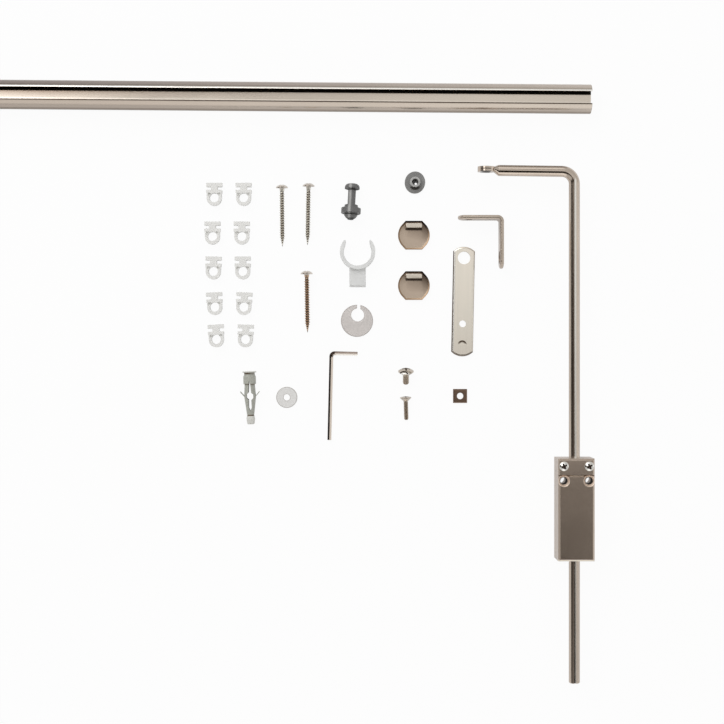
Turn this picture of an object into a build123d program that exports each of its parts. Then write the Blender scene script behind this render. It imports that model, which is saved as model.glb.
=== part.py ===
from build123d import *
import math
import os

# Curtain rod kit laid out on a table: a slotted rail, a cranked rod that rises as it turns in its
# bearing block, and the loose fittings beside them. Millimetres, +Z up from the table, +X along the
# rail's right end, +Y from the block towards the rail. The origin is the middle of the block's back.
os.makedirs("parts", exist_ok=True)

# Rail
RAIL_LENGTH = 1070.0
RAIL_DIAMETER = 18.6
RAIL_HEIGHT = 17.2
RAIL_WALL = 1.4
RAIL_SLOT = 7.7
RAIL_CHANNEL = 11.2
RAIL_FLOOR_HEIGHT = 10.0
RAIL_END_X = 10.8
RAIL_END_Y = 261.9
RAIL_TURN = math.radians(0.47)

# End caps
CAP_WIDTH = 20.4
CAP_LENGTH = 18.4
CAP_FLAT = 10.7
CAP_CORNER_X = 8.06
CAP_CORNER_Y = 6.26
CAP_FLOOR = 1.2
CAP_RIM = 0.9
CAP_RIM_HEIGHT = 1.4
CAP_RIM_SLOPE = 0.8
CAP_RIM_DROP = 0.2
CAP_TAB_WIDTH = 10.2
CAP_TAB_THICKNESS = 3.0
CAP_TAB_HEIGHT = 6.2
CAP_TAB_INSET = 1.9
CAP_X = -102.2
CAP_YS = (175.4, 142.9)

# Gliders, with the place of each row of two from top to bottom
GLIDER_WIDTH = 10.2
GLIDER_THICKNESS = 4.5
GLIDER_HEAD = 2.5
GLIDER_NECK = 2.0
GLIDER_NECK_WIDTH = 4.2
GLIDER_FLANGE = 2.0
GLIDER_EYE_DROP = 3.0
GLIDER_EYE_DIAMETER = 6.0
GLIDER_RING_WIDTH = 9.5
GLIDER_RING_WALL = 0.8
GLIDER_POCKET = 1.9
GLIDER_POCKET_DEPTH = 1.3
GLIDER_ROWS = ((-230.8, 201.6), (-232.0, 176.7), (-231.4, 154.2), (-230.6, 131.2), (-229.6, 110.4))
GLIDER_COLUMN_GAP = 18.9
GLIDER_TURNS = ((0.0, 0.0, -1.0, 3.0, 3.0), (0.0, 0.0, 0.0, -3.0, -2.0))

# Bearing block
BLOCK_WIDTH = 23.0
BLOCK_LENGTH = 65.0
BLOCK_HEIGHT = 22.0
BLOCK_CHAMFER = 1.2
COVER_LENGTH = 10.5
COVER_THICKNESS = 4.0
COVER_SEAM = 0.1
HOLE_SPACING = 16.0
HOLE_FROM_TOP = 14.1
HOLE_RADIUS = 2.15
HOLE_SINK_RADIUS = 3.7
HOLE_RELIEF_RADIUS = 2.8
HOLE_RELIEF_DEPTH = 12.0
COVER_SCREW_FROM_TOP = 4.8
COVER_SCREW_RADIUS = 1.5
COVER_SCREW_CLEARANCE = 0.2
COVER_SCREW_DEPTH = 9.0
COVER_SCREW_HEAD_RADIUS = 3.0
COVER_SCREW_HEAD_RIM = 0.5
COVER_SCREW_HEAD_HEIGHT = 1.7
COVER_SCREW_TURN = math.radians(25)

# Lift rod: the long leg lies along Y at X 0, and its arm points to -X and rises a little towards +Y
ROD_RADIUS = 3.5
ROD_HEIGHT = 11.0
ROD_BOTTOM_Y = -111.4
ROD_ARM_Y = 215.3
ROD_ARM_RISE = 0.7
ROD_BEND_RADIUS = 8.0
ROD_SHOULDER_X = -48.5
ROD_END_CHAMFER = 0.5
EYE_TAPER = 3.2
EYE_NECK_WIDTH = 8.0
EYE_THICKNESS = 3.2
EYE_OFFSET = 0.6
EYE_RADIUS = 5.6
EYE_REACH = 7.7
EYE_HOLE_RADIUS = 2.65

# Lift mechanism inside the block
LIFT_PER_TURN = 48.0
LIFT_LIMIT = 100.0
PIN_RADIUS = 1.5
PIN_FROM_BOTTOM = 11.5
PIN_REACH = 7.6
CAM_RADIUS = 8.0
CAM_INSET = 0.5
CAM_LENGTH = 26.0
CAM_LIP = 1.0
CAM_LIP_CLEARANCE = 0.8
CAM_CLEARANCE = 0.3
CAM_END_ANGLE = 24.0
CAVITY_LENGTH = 28.5
BUSH_WALL = 1.45
BUSH_FIT = 0.05
UPPER_BUSH_LENGTH = 11.0
LOWER_BUSH_LENGTH = 7.0
ROD_BORE_CLEARANCE = 0.3

# Strip brackets: both are cut from one strip with blunt round ends
STRIP_WIDTH = 14.0
STRIP_THICKNESS = 2.5
STRIP_EDGE = 1.1
STRIP_END_RISE = 2.9
STRIP_BIG_HOLE_RADIUS = 4.1
STRIP_SMALL_HOLE_RADIUS = 2.2
FLAT_LENGTH = 70.7
FLAT_X = -70.45
FLAT_Y = 132.6
FLAT_TURN = math.radians(-1.2)
FLAT_BIG_HOLE_FROM_TOP = 7.2
FLAT_SMALL_HOLE_FROM_BOTTOM = 21.0
FLAT_DIMPLE_FROM_BOTTOM = 7.4
FLAT_DIMPLE_RADIUS = 2.7
FLAT_DIMPLE_DEPTH = 0.8
ANGLE_CORNER_X = -45.1
ANGLE_CORNER_Y = 187.4
ANGLE_ARM = 29.1
ANGLE_LEG = 34.0
ANGLE_OUTER_RADIUS = 4.0
ANGLE_HOLE_FROM_END = 7.2

# Guide pin with its grommet, lying on the pin's head and the grommet's flange; the rest radius is
# how low the head's rounded crown reaches as the pin leans
GUIDE_X = -141.8
GUIDE_Y = 208.0
GUIDE_TURN = math.radians(-3.1)
GUIDE_HEAD_RADIUS = 4.8
GUIDE_HEAD_LENGTH = 3.2
GUIDE_HEAD_EDGE = 2.3
GUIDE_HEAD_REST = 4.82
GUIDE_SHAFT_RADIUS = 2.5
GUIDE_TIP_RADIUS = 2.0
GUIDE_TIP_LENGTH = 2.2
GUIDE_LENGTH = 23.2
GROMMET_START = 13.8
GROMMET_COLLAR_RADIUS = 4.3
GROMMET_COLLAR_LENGTH = 2.0
GROMMET_FLANGE_RADIUS = 6.3
GROMMET_FLANGE_LENGTH = 3.4
GROMMET_TAIL_LENGTH = 1.3
GROMMET_CONE_LENGTH = 1.8
GROMMET_END_RADIUS = 3.0
GROMMET_FIT = 0.05

# Spare flanged bush
SPARE_X = -101.5
SPARE_Y = 209.4
SPARE_FLANGE_WIDTH = 13.2
SPARE_FLANGE_LENGTH = 14.2
SPARE_FLANGE_TURN = -8.0
SPARE_FLANGE_THICKNESS = 2.0
SPARE_BOSS_RADIUS = 3.35
SPARE_HEIGHT = 5.5
SPARE_BORE_RADIUS = 2.05
SPARE_FLOOR = 1.2
SPARE_VENT_RADIUS = 0.75
SPARE_VENT_X = 0.55
SPARE_VENT_Y = -0.8
SPARE_EDGE = 0.5

# Rail clip
CLIP_X = -138.5
CLIP_Y = 164.4
CLIP_INNER_RADIUS = 8.9
CLIP_OUTER_RADIUS = 11.35
CLIP_TIP_X = 7.45
CLIP_TIP_Y = 6.9
CLIP_TIP_SLOPE = 0.9
CLIP_HEIGHT = 8.0
CLIP_STEM_WIDTH = 10.5
CLIP_STEM_LENGTH = 22.5
CLIP_STEM_HEIGHT = 5.0
CLIP_STEM_EDGE = 1.5

# Slotted disc
DISC_X = -138.9
DISC_Y = 120.2
DISC_RADIUS = 10.35
DISC_THICKNESS = 1.8
DISC_HOLE_RADIUS = 4.15
DISC_HOLE_OFFSET_X = 0.4
DISC_HOLE_OFFSET_Y = 3.8
DISC_SLOT_WIDTH = 2.0
DISC_SLOT_OFFSET_X = 1.1

# Wood screws, with head place and turn of each
WOOD_LENGTH = 40.0
WOOD_HEAD_RADIUS = 3.85
WOOD_HEAD_HEIGHT = 2.3
WOOD_HEAD_BRIM = 0.6
WOOD_NECK_LENGTH = 2.4
WOOD_NECK_RADIUS = 1.7
WOOD_CORE_RADIUS = 1.2
WOOD_CREST_RADIUS = 1.75
WOOD_PITCH = 1.58
WOOD_CREST_WIDTH = 0.35
WOOD_POINT_LENGTH = 4.0
WOOD_RECESS_SPAN = 3.6
WOOD_RECESS_SLOT = 0.9
WOOD_RECESS_DEPTH = 1.4
WOOD_SCREW_PLACES = ((-187.2, 207.8, 0.3), (-170.0, 208.8, -1.1), (-171.3, 152.4, 0.7))

# Hex key
KEY_FLATS = 2.5
KEY_CORNER_UP = 30.0
KEY_CORNER_X = -155.4
KEY_CORNER_Y = 99.3
KEY_LONG = 56.0
KEY_SHORT = 16.9
KEY_BEND_RADIUS = 2.1
KEY_TURN = math.radians(-1.35)

# Wall plug; the distances run from its brim
PLUG_X = -208.1
PLUG_Y = 87.6
PLUG_TURN = math.radians(1.6)
PLUG_LENGTH = 34.0
PLUG_BRIM_RADIUS = 4.45
PLUG_BRIM_LENGTH = 0.7
PLUG_NECK_RADIUS = 3.4
PLUG_NECK_END = 2.0
PLUG_SHOULDER_RADIUS = 4.05
PLUG_SHOULDER_START = 3.4
PLUG_SHOULDER_END = 8.1
PLUG_BODY_RADIUS = 3.3
PLUG_WAIST_RADIUS = 3.8
PLUG_WAIST_END = 16.3
PLUG_TAPER_RADIUS = 2.3
PLUG_TAPER_END = 28.0
PLUG_GROOVE_RADIUS = 2.1
PLUG_GROOVE_LENGTH = 0.5
PLUG_TAIL_START_RADIUS = 2.4
PLUG_TAIL_RADIUS = 2.75
PLUG_TAIL_WIDEST = 30.6
PLUG_TAIL_EDGE = 0.4
PLUG_SLIT_START = 6.2
PLUG_SLIT_HALF_START = 0.3
PLUG_WINDOW_START = 13.65
PLUG_WINDOW_CORNER = 1.25
PLUG_WINDOW_END = 18.3
PLUG_WINDOW_HALF_WIDTH = 2.2
PLUG_SLIT_HALF_WIDTH = 0.95
PLUG_SLIT_POINT = 25.6
PLUG_SLIT_POINT_LENGTH = 2.2
PLUG_FIN_ROOT = 16.0
PLUG_FIN_REACH = 6.1
PLUG_FIN_RISE = 3.3
PLUG_FIN_THICKNESS = 0.8
PLUG_FIN_WIDTH = 2.4

# Nylon washer
WASHER_X = -184.2
WASHER_Y = 70.8
WASHER_RADIUS = 6.8
WASHER_THICKNESS = 1.6
WASHER_HOLE_RADIUS = 2.1
WASHER_EDGE = 0.4

# Machine screws
OVAL_X = -107.4
OVAL_Y = 89.4
OVAL_TURN = 0.0
OVAL_HEAD_RADIUS = 5.0
OVAL_DOME = 1.8
OVAL_RIM = 0.3
OVAL_CONE = 2.4
OVAL_SHANK_RADIUS = 2.0
OVAL_LENGTH = 10.6
OVAL_RECESS_SPAN = 5.0
SMALL_X = -107.6
SMALL_Y = 71.3
SMALL_TURN = math.radians(2.0)
SMALL_HEAD_RADIUS = 3.65
SMALL_DOME = 0.5
SMALL_RIM = 0.3
SMALL_CONE = 2.0
SMALL_SHANK_RADIUS = 1.5
SMALL_LENGTH = 15.1
SMALL_RECESS_SPAN = 3.6
SCREW_END_CHAMFER = 0.5
RECESS_SLOT = 1.1
RECESS_DEPTH = 1.6
COVER_RECESS_SPAN = 3.8
COVER_RECESS_DEPTH = 1.0

# Square nut
NUT_X = -72.4
NUT_Y = 71.7
NUT_SIDE = 9.0
NUT_THICKNESS = 3.0
NUT_HOLE_RADIUS = 2.1
NUT_CHAMFER = 0.6

# Places worked out from the sizes
BLOCK_TOP = BLOCK_LENGTH / 2
COVER_EDGE = BLOCK_TOP - COVER_LENGTH
HOLE_Y = BLOCK_TOP - HOLE_FROM_TOP
COVER_SCREW_Y = BLOCK_TOP - COVER_SCREW_FROM_TOP
BUSH_BORE = ROD_RADIUS + BUSH_FIT
BUSH_RADIUS = BUSH_BORE + BUSH_WALL
PIN_REST_Y = PIN_FROM_BOTTOM - BLOCK_TOP
CAM_BOTTOM = CAM_INSET - BLOCK_TOP
CAM_TOP_Y = CAM_BOTTOM + CAM_LENGTH
CAM_BORE = BUSH_RADIUS + BUSH_FIT
RAIL_INNER_RADIUS = RAIL_DIAMETER / 2 - RAIL_WALL
GLIDER_LENGTH = GLIDER_HEAD + GLIDER_NECK + GLIDER_FLANGE + GLIDER_EYE_DROP + GLIDER_WIDTH / 2


def lying_plane(x, y, turn, near_radius, near_distance, far_radius, far_distance):
    """Plane of a round piece resting on two of its rims; local X runs along its axis from the head."""
    tilt = math.atan2(near_radius - far_radius, far_distance - near_distance)
    height = near_radius * math.cos(tilt) + near_distance * math.sin(tilt)
    along = (math.sin(turn) * math.cos(tilt), -math.cos(turn) * math.cos(tilt), -math.sin(tilt))
    return Plane(origin=(x, y, height), x_dir=along, z_dir=(math.cos(turn), math.sin(turn), 0))


def end_plane(plane):
    """Plane across the axis of a lying piece at its crown, facing along the axis."""
    return Plane(origin=plane.origin, x_dir=plane.z_dir, z_dir=plane.x_dir)


def top_plane(plane):
    """Plane through the axis of a lying piece, facing up, with local X along the axis."""
    return Plane(origin=plane.origin, x_dir=plane.x_dir, z_dir=plane.x_dir.cross(plane.z_dir))


def turned_plane(x, y, turn, height=0.0):
    """Level plane at a place on the table, turned about +Z by an angle in radians."""
    return Plane(origin=(x, y, height), x_dir=(math.cos(turn), math.sin(turn), 0), z_dir=(0, 0, 1))


def cross_sketch(plane, span, slot):
    """Cross of two slots for a screw's recess."""
    with BuildSketch(plane) as cross:
        Rectangle(span, slot)
        Rectangle(slot, span)
    return cross.sketch


def arc_radius(half_width, rise):
    """Radius of the arc that rises by an amount over twice a half width."""
    return (half_width**2 + rise**2) / (2 * rise)


def countersunk_outline(head_radius, dome, rim, cone, shank_radius, length):
    """Half outline of a countersunk machine screw along local X, from its crown to its end."""
    cone_end = dome + rim + cone
    with BuildLine() as outline:
        RadiusArc((0, 0), (dome, head_radius), arc_radius(head_radius, dome))
        Polyline(
            (dome, head_radius),
            (dome + rim, head_radius),
            (cone_end, shank_radius),
            (length - SCREW_END_CHAMFER, shank_radius),
            (length, shank_radius - SCREW_END_CHAMFER),
            (length, 0),
            (0, 0),
        )
    return outline.line


# Rail: truncated round tube with a T-slot above a web and a closed chamber below it
rail_direction = (-math.cos(RAIL_TURN), math.sin(RAIL_TURN), 0)
rail_plane = Plane(
    origin=(RAIL_END_X, RAIL_END_Y, 0),
    x_dir=(-math.sin(RAIL_TURN), -math.cos(RAIL_TURN), 0),
    z_dir=rail_direction,
)
with BuildPart() as rail:
    with BuildSketch(rail_plane):
        with Locations((0, RAIL_HEIGHT / 2)):
            Circle(RAIL_DIAMETER / 2)
            Rectangle(RAIL_DIAMETER, RAIL_HEIGHT, mode=Mode.INTERSECT)
    extrude(amount=RAIL_LENGTH)
    with BuildSketch(rail_plane):
        with Locations((0, RAIL_HEIGHT / 2)):
            Circle(RAIL_INNER_RADIUS)
        with Locations((0, RAIL_FLOOR_HEIGHT)):
            Rectangle(RAIL_CHANNEL, RAIL_HEIGHT, align=(Align.CENTER, Align.MIN), mode=Mode.INTERSECT)
    extrude(amount=RAIL_LENGTH, mode=Mode.SUBTRACT)
    with BuildSketch(rail_plane):
        with Locations((0, RAIL_FLOOR_HEIGHT)):
            Rectangle(RAIL_SLOT, RAIL_HEIGHT, align=(Align.CENTER, Align.MIN))
    extrude(amount=RAIL_LENGTH, mode=Mode.SUBTRACT)
    with BuildSketch(rail_plane):
        with Locations((0, RAIL_HEIGHT / 2)):
            Circle(RAIL_INNER_RADIUS)
        with Locations((0, RAIL_WALL)):
            Rectangle(
                RAIL_DIAMETER,
                RAIL_FLOOR_HEIGHT - 2 * RAIL_WALL,
                align=(Align.CENTER, Align.MIN),
                mode=Mode.INTERSECT,
            )
    extrude(amount=RAIL_LENGTH, mode=Mode.SUBTRACT)
rail.part.label = "rail"
export_step(rail.part, "parts/rail.step")


# End caps: dished plates, lying on their outer face with the tab upwards
def cap_outline():
    """Outline of an end cap: flat top and bottom, cut corners and round sides."""
    side = CAP_WIDTH / 2
    top = CAP_LENGTH / 2
    flat = CAP_FLAT / 2
    corner_x = CAP_CORNER_X
    corner_y = CAP_CORNER_Y
    with BuildLine() as outline:
        Polyline((-corner_x, corner_y), (-flat, top), (flat, top), (corner_x, corner_y))
        ThreePointArc((corner_x, corner_y), (side, 0), (corner_x, -corner_y))
        Polyline((corner_x, -corner_y), (flat, -top), (-flat, -top), (-corner_x, -corner_y))
        ThreePointArc((-corner_x, -corner_y), (-side, 0), (-corner_x, corner_y))
    return outline.line


for cap_number, cap_y in enumerate(CAP_YS, start=1):
    cap_plane = Plane(origin=(CAP_X, cap_y, 0))
    with BuildPart() as end_cap:
        with BuildSketch(cap_plane):
            make_face(cap_outline())
        extrude(amount=CAP_FLOOR + CAP_RIM_HEIGHT)
        with BuildSketch(cap_plane.offset(CAP_FLOOR)):
            make_face(cap_outline())
            offset(amount=-CAP_RIM, mode=Mode.REPLACE)
        extrude(amount=CAP_RIM_HEIGHT, mode=Mode.SUBTRACT)
        rim_top = end_cap.faces().sort_by(Axis.Z)[-1]
        chamfer(
            rim_top.inner_wires()[0].edges(),
            length=CAP_RIM_SLOPE,
            length2=CAP_RIM_DROP,
            reference=rim_top,
        )
        tab_y = CAP_LENGTH / 2 - CAP_TAB_INSET - CAP_TAB_THICKNESS / 2
        with BuildSketch(cap_plane):
            with Locations((0, tab_y)):
                RectangleRounded(CAP_TAB_WIDTH, CAP_TAB_THICKNESS, CAP_RIM)
        extrude(amount=CAP_TAB_HEIGHT)
    end_cap.part.label = f"end_cap_{cap_number}"
    export_step(end_cap.part, f"parts/end_cap_{cap_number}.step")


# Gliders: T-shaped head, neck and flange over an eye with straight sides
def glider_outline():
    """Outline of a glider from its head down; the origin is the middle of its length."""
    top = GLIDER_LENGTH / 2
    half = GLIDER_WIDTH / 2
    neck = GLIDER_NECK_WIDTH / 2
    ring = GLIDER_RING_WIDTH / 2
    head_bottom = top - GLIDER_HEAD
    flange_top = head_bottom - GLIDER_NECK
    flange_bottom = flange_top - GLIDER_FLANGE
    with BuildLine() as outline:
        ThreePointArc((ring, ring - top), (0, -top), (-ring, ring - top))
        Polyline(
            (-ring, ring - top),
            (-ring, flange_bottom),
            (-half, flange_bottom),
            (-half, flange_top),
            (-neck, flange_top),
            (-neck, head_bottom),
            (-half, head_bottom),
            (-half, top),
            (half, top),
            (half, head_bottom),
            (neck, head_bottom),
            (neck, flange_top),
            (half, flange_top),
            (half, flange_bottom),
            (ring, flange_bottom),
            (ring, ring - top),
        )
    return outline.line


GLIDER_EYE_Y = GLIDER_WIDTH / 2 - GLIDER_LENGTH / 2
for column, turns in enumerate(GLIDER_TURNS):
    for row, turn in enumerate(turns):
        row_x, row_y = GLIDER_ROWS[row]
        glider_plane = turned_plane(row_x + column * GLIDER_COLUMN_GAP, row_y, math.radians(turn))
        glider_name = f"glider_{column * len(turns) + row + 1:02d}"
        pocket_x = GLIDER_RING_WIDTH / 2 - GLIDER_RING_WALL - GLIDER_POCKET / 2
        pocket_y = GLIDER_EYE_Y + GLIDER_EYE_DROP - GLIDER_POCKET / 2
        with BuildPart() as glider:
            with BuildSketch(glider_plane):
                make_face(glider_outline())
                with Locations((0, GLIDER_EYE_Y)):
                    Circle(GLIDER_EYE_DIAMETER / 2, mode=Mode.SUBTRACT)
            extrude(amount=GLIDER_THICKNESS)
            with BuildSketch(glider_plane.offset(GLIDER_THICKNESS)):
                with Locations((-pocket_x, pocket_y), (pocket_x, pocket_y)):
                    Rectangle(GLIDER_POCKET, GLIDER_POCKET)
            extrude(amount=-GLIDER_POCKET_DEPTH, mode=Mode.SUBTRACT)
        glider.part.label = glider_name
        export_step(glider.part, f"parts/{glider_name}.step")

# Lift rod: long leg, square bend, arm, and a flattened eye standing on edge at the arm's end
with BuildPart() as lift_rod:
    with BuildLine(Plane.XY.offset(ROD_HEIGHT)) as rod_path:
        FilletPolyline(
            (0, ROD_BOTTOM_Y),
            (0, ROD_ARM_Y),
            (ROD_SHOULDER_X, ROD_ARM_Y + ROD_ARM_RISE),
            radius=ROD_BEND_RADIUS,
        )
    with BuildSketch(Plane.XZ.offset(-ROD_BOTTOM_Y)):
        with Locations((0, ROD_HEIGHT)):
            Circle(ROD_RADIUS)
    sweep(path=rod_path.line)
    chamfer(lift_rod.edges().group_by(Axis.Y)[0], ROD_END_CHAMFER)
    arm_direction = rod_path.line % 1
    arm_end = Plane(
        origin=rod_path.line @ 1,
        x_dir=arm_direction.cross(Vector(0, 0, 1)),
        z_dir=arm_direction,
    )
    with BuildSketch(arm_end):
        Circle(ROD_RADIUS)
    with BuildSketch(arm_end.offset(EYE_TAPER)):
        with Locations((EYE_OFFSET, 0)):
            Ellipse(EYE_THICKNESS / 2, EYE_NECK_WIDTH / 2)
    loft()
    eye_side = arm_end.x_dir * (EYE_OFFSET - EYE_THICKNESS / 2)
    eye_plane = Plane(
        origin=arm_end.origin + arm_end.z_dir * EYE_REACH + eye_side,
        x_dir=arm_end.z_dir,
        z_dir=arm_end.x_dir,
    )
    with BuildSketch(eye_plane):
        Circle(EYE_RADIUS)
    extrude(amount=EYE_THICKNESS)
    with BuildSketch(eye_plane):
        Circle(EYE_HOLE_RADIUS)
    extrude(amount=EYE_THICKNESS, mode=Mode.SUBTRACT)
    with BuildSketch(Plane.XY.offset(ROD_HEIGHT)):
        with Locations((0, PIN_REST_Y)):
            Circle(PIN_RADIUS)
    extrude(amount=ROD_RADIUS, both=True, mode=Mode.SUBTRACT)
lift_rod.part.label = "lift_rod"
export_step(lift_rod.part, "parts/lift_rod.step")

# Lift pin: pressed through the rod, its free end rides on the cam
with BuildPart() as lift_pin:
    with BuildSketch(Plane.XY.offset(ROD_HEIGHT - ROD_RADIUS)):
        with Locations((0, PIN_REST_Y)):
            Circle(PIN_RADIUS)
    extrude(amount=ROD_RADIUS + PIN_REACH)
lift_pin.part.label = "lift_pin"
export_step(lift_pin.part, "parts/lift_pin.step")

# Bearing block: solid bar with a stepped bore for the rod and a recess for the front cover
with BuildPart() as block_body:
    with BuildSketch(Plane.XY):
        Rectangle(BLOCK_WIDTH, BLOCK_LENGTH)
    extrude(amount=BLOCK_HEIGHT)
    with BuildSketch(Plane.XY.offset(BLOCK_HEIGHT)):
        with Locations((0, COVER_EDGE)):
            Rectangle(BLOCK_WIDTH, COVER_LENGTH, align=(Align.CENTER, Align.MIN))
    extrude(amount=-COVER_THICKNESS, mode=Mode.SUBTRACT)
    chamfer(block_body.faces().sort_by(Axis.Z)[-1].edges(), BLOCK_CHAMFER)
    with BuildSketch(Plane.XZ.offset(-BLOCK_TOP)):
        with Locations((0, ROD_HEIGHT)):
            Circle(ROD_RADIUS + ROD_BORE_CLEARANCE)
    extrude(amount=BLOCK_LENGTH, mode=Mode.SUBTRACT)
    with BuildSketch(Plane.XZ.offset(-BLOCK_TOP)):
        with Locations((0, ROD_HEIGHT)):
            Circle(BUSH_RADIUS)
    extrude(amount=UPPER_BUSH_LENGTH, mode=Mode.SUBTRACT)
    with BuildSketch(Plane.XZ.offset(BLOCK_TOP)):
        with Locations((0, ROD_HEIGHT)):
            Circle(CAM_RADIUS)
    extrude(amount=-CAVITY_LENGTH, mode=Mode.SUBTRACT)
    with Locations((-HOLE_SPACING / 2, HOLE_Y, BLOCK_HEIGHT), (HOLE_SPACING / 2, HOLE_Y, BLOCK_HEIGHT)):
        CounterSinkHole(HOLE_RADIUS, HOLE_SINK_RADIUS, depth=BLOCK_HEIGHT)
    with BuildSketch(Plane.XY):
        with Locations((0, HOLE_Y)):
            with GridLocations(HOLE_SPACING, 0, 2, 1):
                Circle(HOLE_RELIEF_RADIUS)
    extrude(amount=HOLE_RELIEF_DEPTH, mode=Mode.SUBTRACT)
    with BuildSketch(Plane.XY.offset(BLOCK_HEIGHT - COVER_THICKNESS)):
        with Locations((0, COVER_SCREW_Y)):
            with GridLocations(HOLE_SPACING, 0, 2, 1):
                Circle(COVER_SCREW_RADIUS)
    extrude(amount=-COVER_SCREW_DEPTH, mode=Mode.SUBTRACT)
block_body.part.label = "block_body"
export_step(block_body.part, "parts/block_body.step")

# Block cover: short plate that completes the block's front at its top end
with BuildPart() as block_cover:
    with BuildSketch(Plane.XY.offset(BLOCK_HEIGHT - COVER_THICKNESS)):
        with Locations((0, COVER_EDGE + COVER_SEAM)):
            Rectangle(BLOCK_WIDTH, COVER_LENGTH - COVER_SEAM, align=(Align.CENTER, Align.MIN))
    extrude(amount=COVER_THICKNESS)
    cover_front = block_cover.faces().sort_by(Axis.Z)[-1]
    chamfer(cover_front.edges().sort_by(Axis.Y)[1:], BLOCK_CHAMFER)
    with BuildSketch(Plane.XY.offset(BLOCK_HEIGHT)):
        with Locations((0, COVER_SCREW_Y)):
            with GridLocations(HOLE_SPACING, 0, 2, 1):
                Circle(COVER_SCREW_RADIUS + COVER_SCREW_CLEARANCE)
    extrude(amount=-COVER_THICKNESS, mode=Mode.SUBTRACT)
block_cover.part.label = "block_cover"
export_step(block_cover.part, "parts/block_cover.step")

# Cover screws: domed heads on the cover's face, with cross recesses turned out of square
with BuildPart() as cover_screws:
    with BuildSketch(Plane.XY.offset(BLOCK_HEIGHT - COVER_THICKNESS - COVER_SCREW_DEPTH)):
        with Locations((0, COVER_SCREW_Y)):
            with GridLocations(HOLE_SPACING, 0, 2, 1):
                Circle(COVER_SCREW_RADIUS)
    extrude(amount=COVER_SCREW_DEPTH + COVER_THICKNESS)
    crown = (0, COVER_SCREW_HEAD_HEIGHT)
    dome_foot = (COVER_SCREW_HEAD_RADIUS, COVER_SCREW_HEAD_RIM)
    dome_radius = arc_radius(COVER_SCREW_HEAD_RADIUS, COVER_SCREW_HEAD_HEIGHT - COVER_SCREW_HEAD_RIM)
    for side in (-1, 1):
        screw_x = side * HOLE_SPACING / 2
        seat_plane = turned_plane(screw_x, COVER_SCREW_Y, COVER_SCREW_TURN, BLOCK_HEIGHT)
        profile_plane = Plane(
            origin=seat_plane.origin,
            x_dir=seat_plane.x_dir,
            z_dir=-seat_plane.y_dir,
        )
        with BuildSketch(profile_plane):
            with BuildLine():
                RadiusArc(crown, dome_foot, dome_radius)
                Polyline(dome_foot, (COVER_SCREW_HEAD_RADIUS, 0), (0, 0), crown)
            make_face()
        revolve(axis=Axis(seat_plane.origin, seat_plane.z_dir))
        crown_plane = seat_plane.offset(COVER_SCREW_HEAD_HEIGHT)
        recess = cross_sketch(crown_plane, COVER_RECESS_SPAN, RECESS_SLOT)
        extrude(recess, amount=-COVER_RECESS_DEPTH, mode=Mode.SUBTRACT)
cover_screws.part.label = "cover_screws"
export_step(cover_screws.part, "parts/cover_screws.step")

# Upper bush: plain sleeve in the block's top end
with BuildPart() as upper_bush:
    with BuildSketch(Plane.XZ.offset(-BLOCK_TOP)):
        with Locations((0, ROD_HEIGHT)):
            Circle(BUSH_RADIUS)
            Circle(BUSH_BORE, mode=Mode.SUBTRACT)
    extrude(amount=UPPER_BUSH_LENGTH)
upper_bush.part.label = "upper_bush"
export_step(upper_bush.part, "parts/upper_bush.step")

# Lift cam: tube with an inner lip below and a helical ramp cut down into its wall from above
pin_top_gradient = LIFT_PER_TURN / (2 * math.pi * CAM_BORE)
ramp_drop = (PIN_RADIUS + CAM_CLEARANCE) * math.hypot(1, pin_top_gradient)
ramp_lift = LIFT_PER_TURN * (LIFT_LIMIT + 2 * CAM_END_ANGLE) / 360
ramp_start_y = PIN_REST_Y - ramp_drop - LIFT_PER_TURN * CAM_END_ANGLE / 360
ramp_plane = Plane(
    origin=(0, ramp_start_y, ROD_HEIGHT),
    x_dir=(-math.sin(math.radians(CAM_END_ANGLE)), 0, math.cos(math.radians(CAM_END_ANGLE))),
    z_dir=(0, 1, 0),
)
ramp_path = ramp_plane * Helix(pitch=LIFT_PER_TURN, height=ramp_lift, radius=CAM_RADIUS)
ramp_section = Plane(origin=ramp_plane.origin, x_dir=ramp_plane.x_dir, z_dir=-ramp_plane.y_dir)
with BuildPart() as lift_cam:
    with BuildSketch(Plane.XZ.offset(-CAM_BOTTOM)):
        with Locations((0, ROD_HEIGHT)):
            Circle(CAM_RADIUS)
            Circle(ROD_RADIUS + CAM_LIP_CLEARANCE, mode=Mode.SUBTRACT)
    extrude(amount=-CAM_LENGTH)
    with BuildSketch(Plane.XZ.offset(-CAM_BOTTOM - CAM_LIP)):
        with Locations((0, ROD_HEIGHT)):
            Circle(CAM_BORE)
    extrude(amount=-CAM_LENGTH, mode=Mode.SUBTRACT)
    with BuildSketch(ramp_section):
        with Locations((CAM_RADIUS, 0)):
            Rectangle(
                2 * (CAM_RADIUS - ROD_RADIUS),
                CAM_TOP_Y - ramp_start_y,
                align=(Align.CENTER, Align.MIN),
            )
    sweep(path=ramp_path, is_frenet=True, mode=Mode.SUBTRACT)
lift_cam.part.label = "lift_cam"
export_step(lift_cam.part, "parts/lift_cam.step")

# Lower bush: turns with the rod on the cam's lip
with BuildPart() as lower_bush:
    with BuildSketch(Plane.XZ.offset(-CAM_BOTTOM - CAM_LIP)):
        with Locations((0, ROD_HEIGHT)):
            Circle(BUSH_RADIUS)
            Circle(BUSH_BORE, mode=Mode.SUBTRACT)
    extrude(amount=-LOWER_BUSH_LENGTH)
lower_bush.part.label = "lower_bush"
export_step(lower_bush.part, "parts/lower_bush.step")


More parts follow.
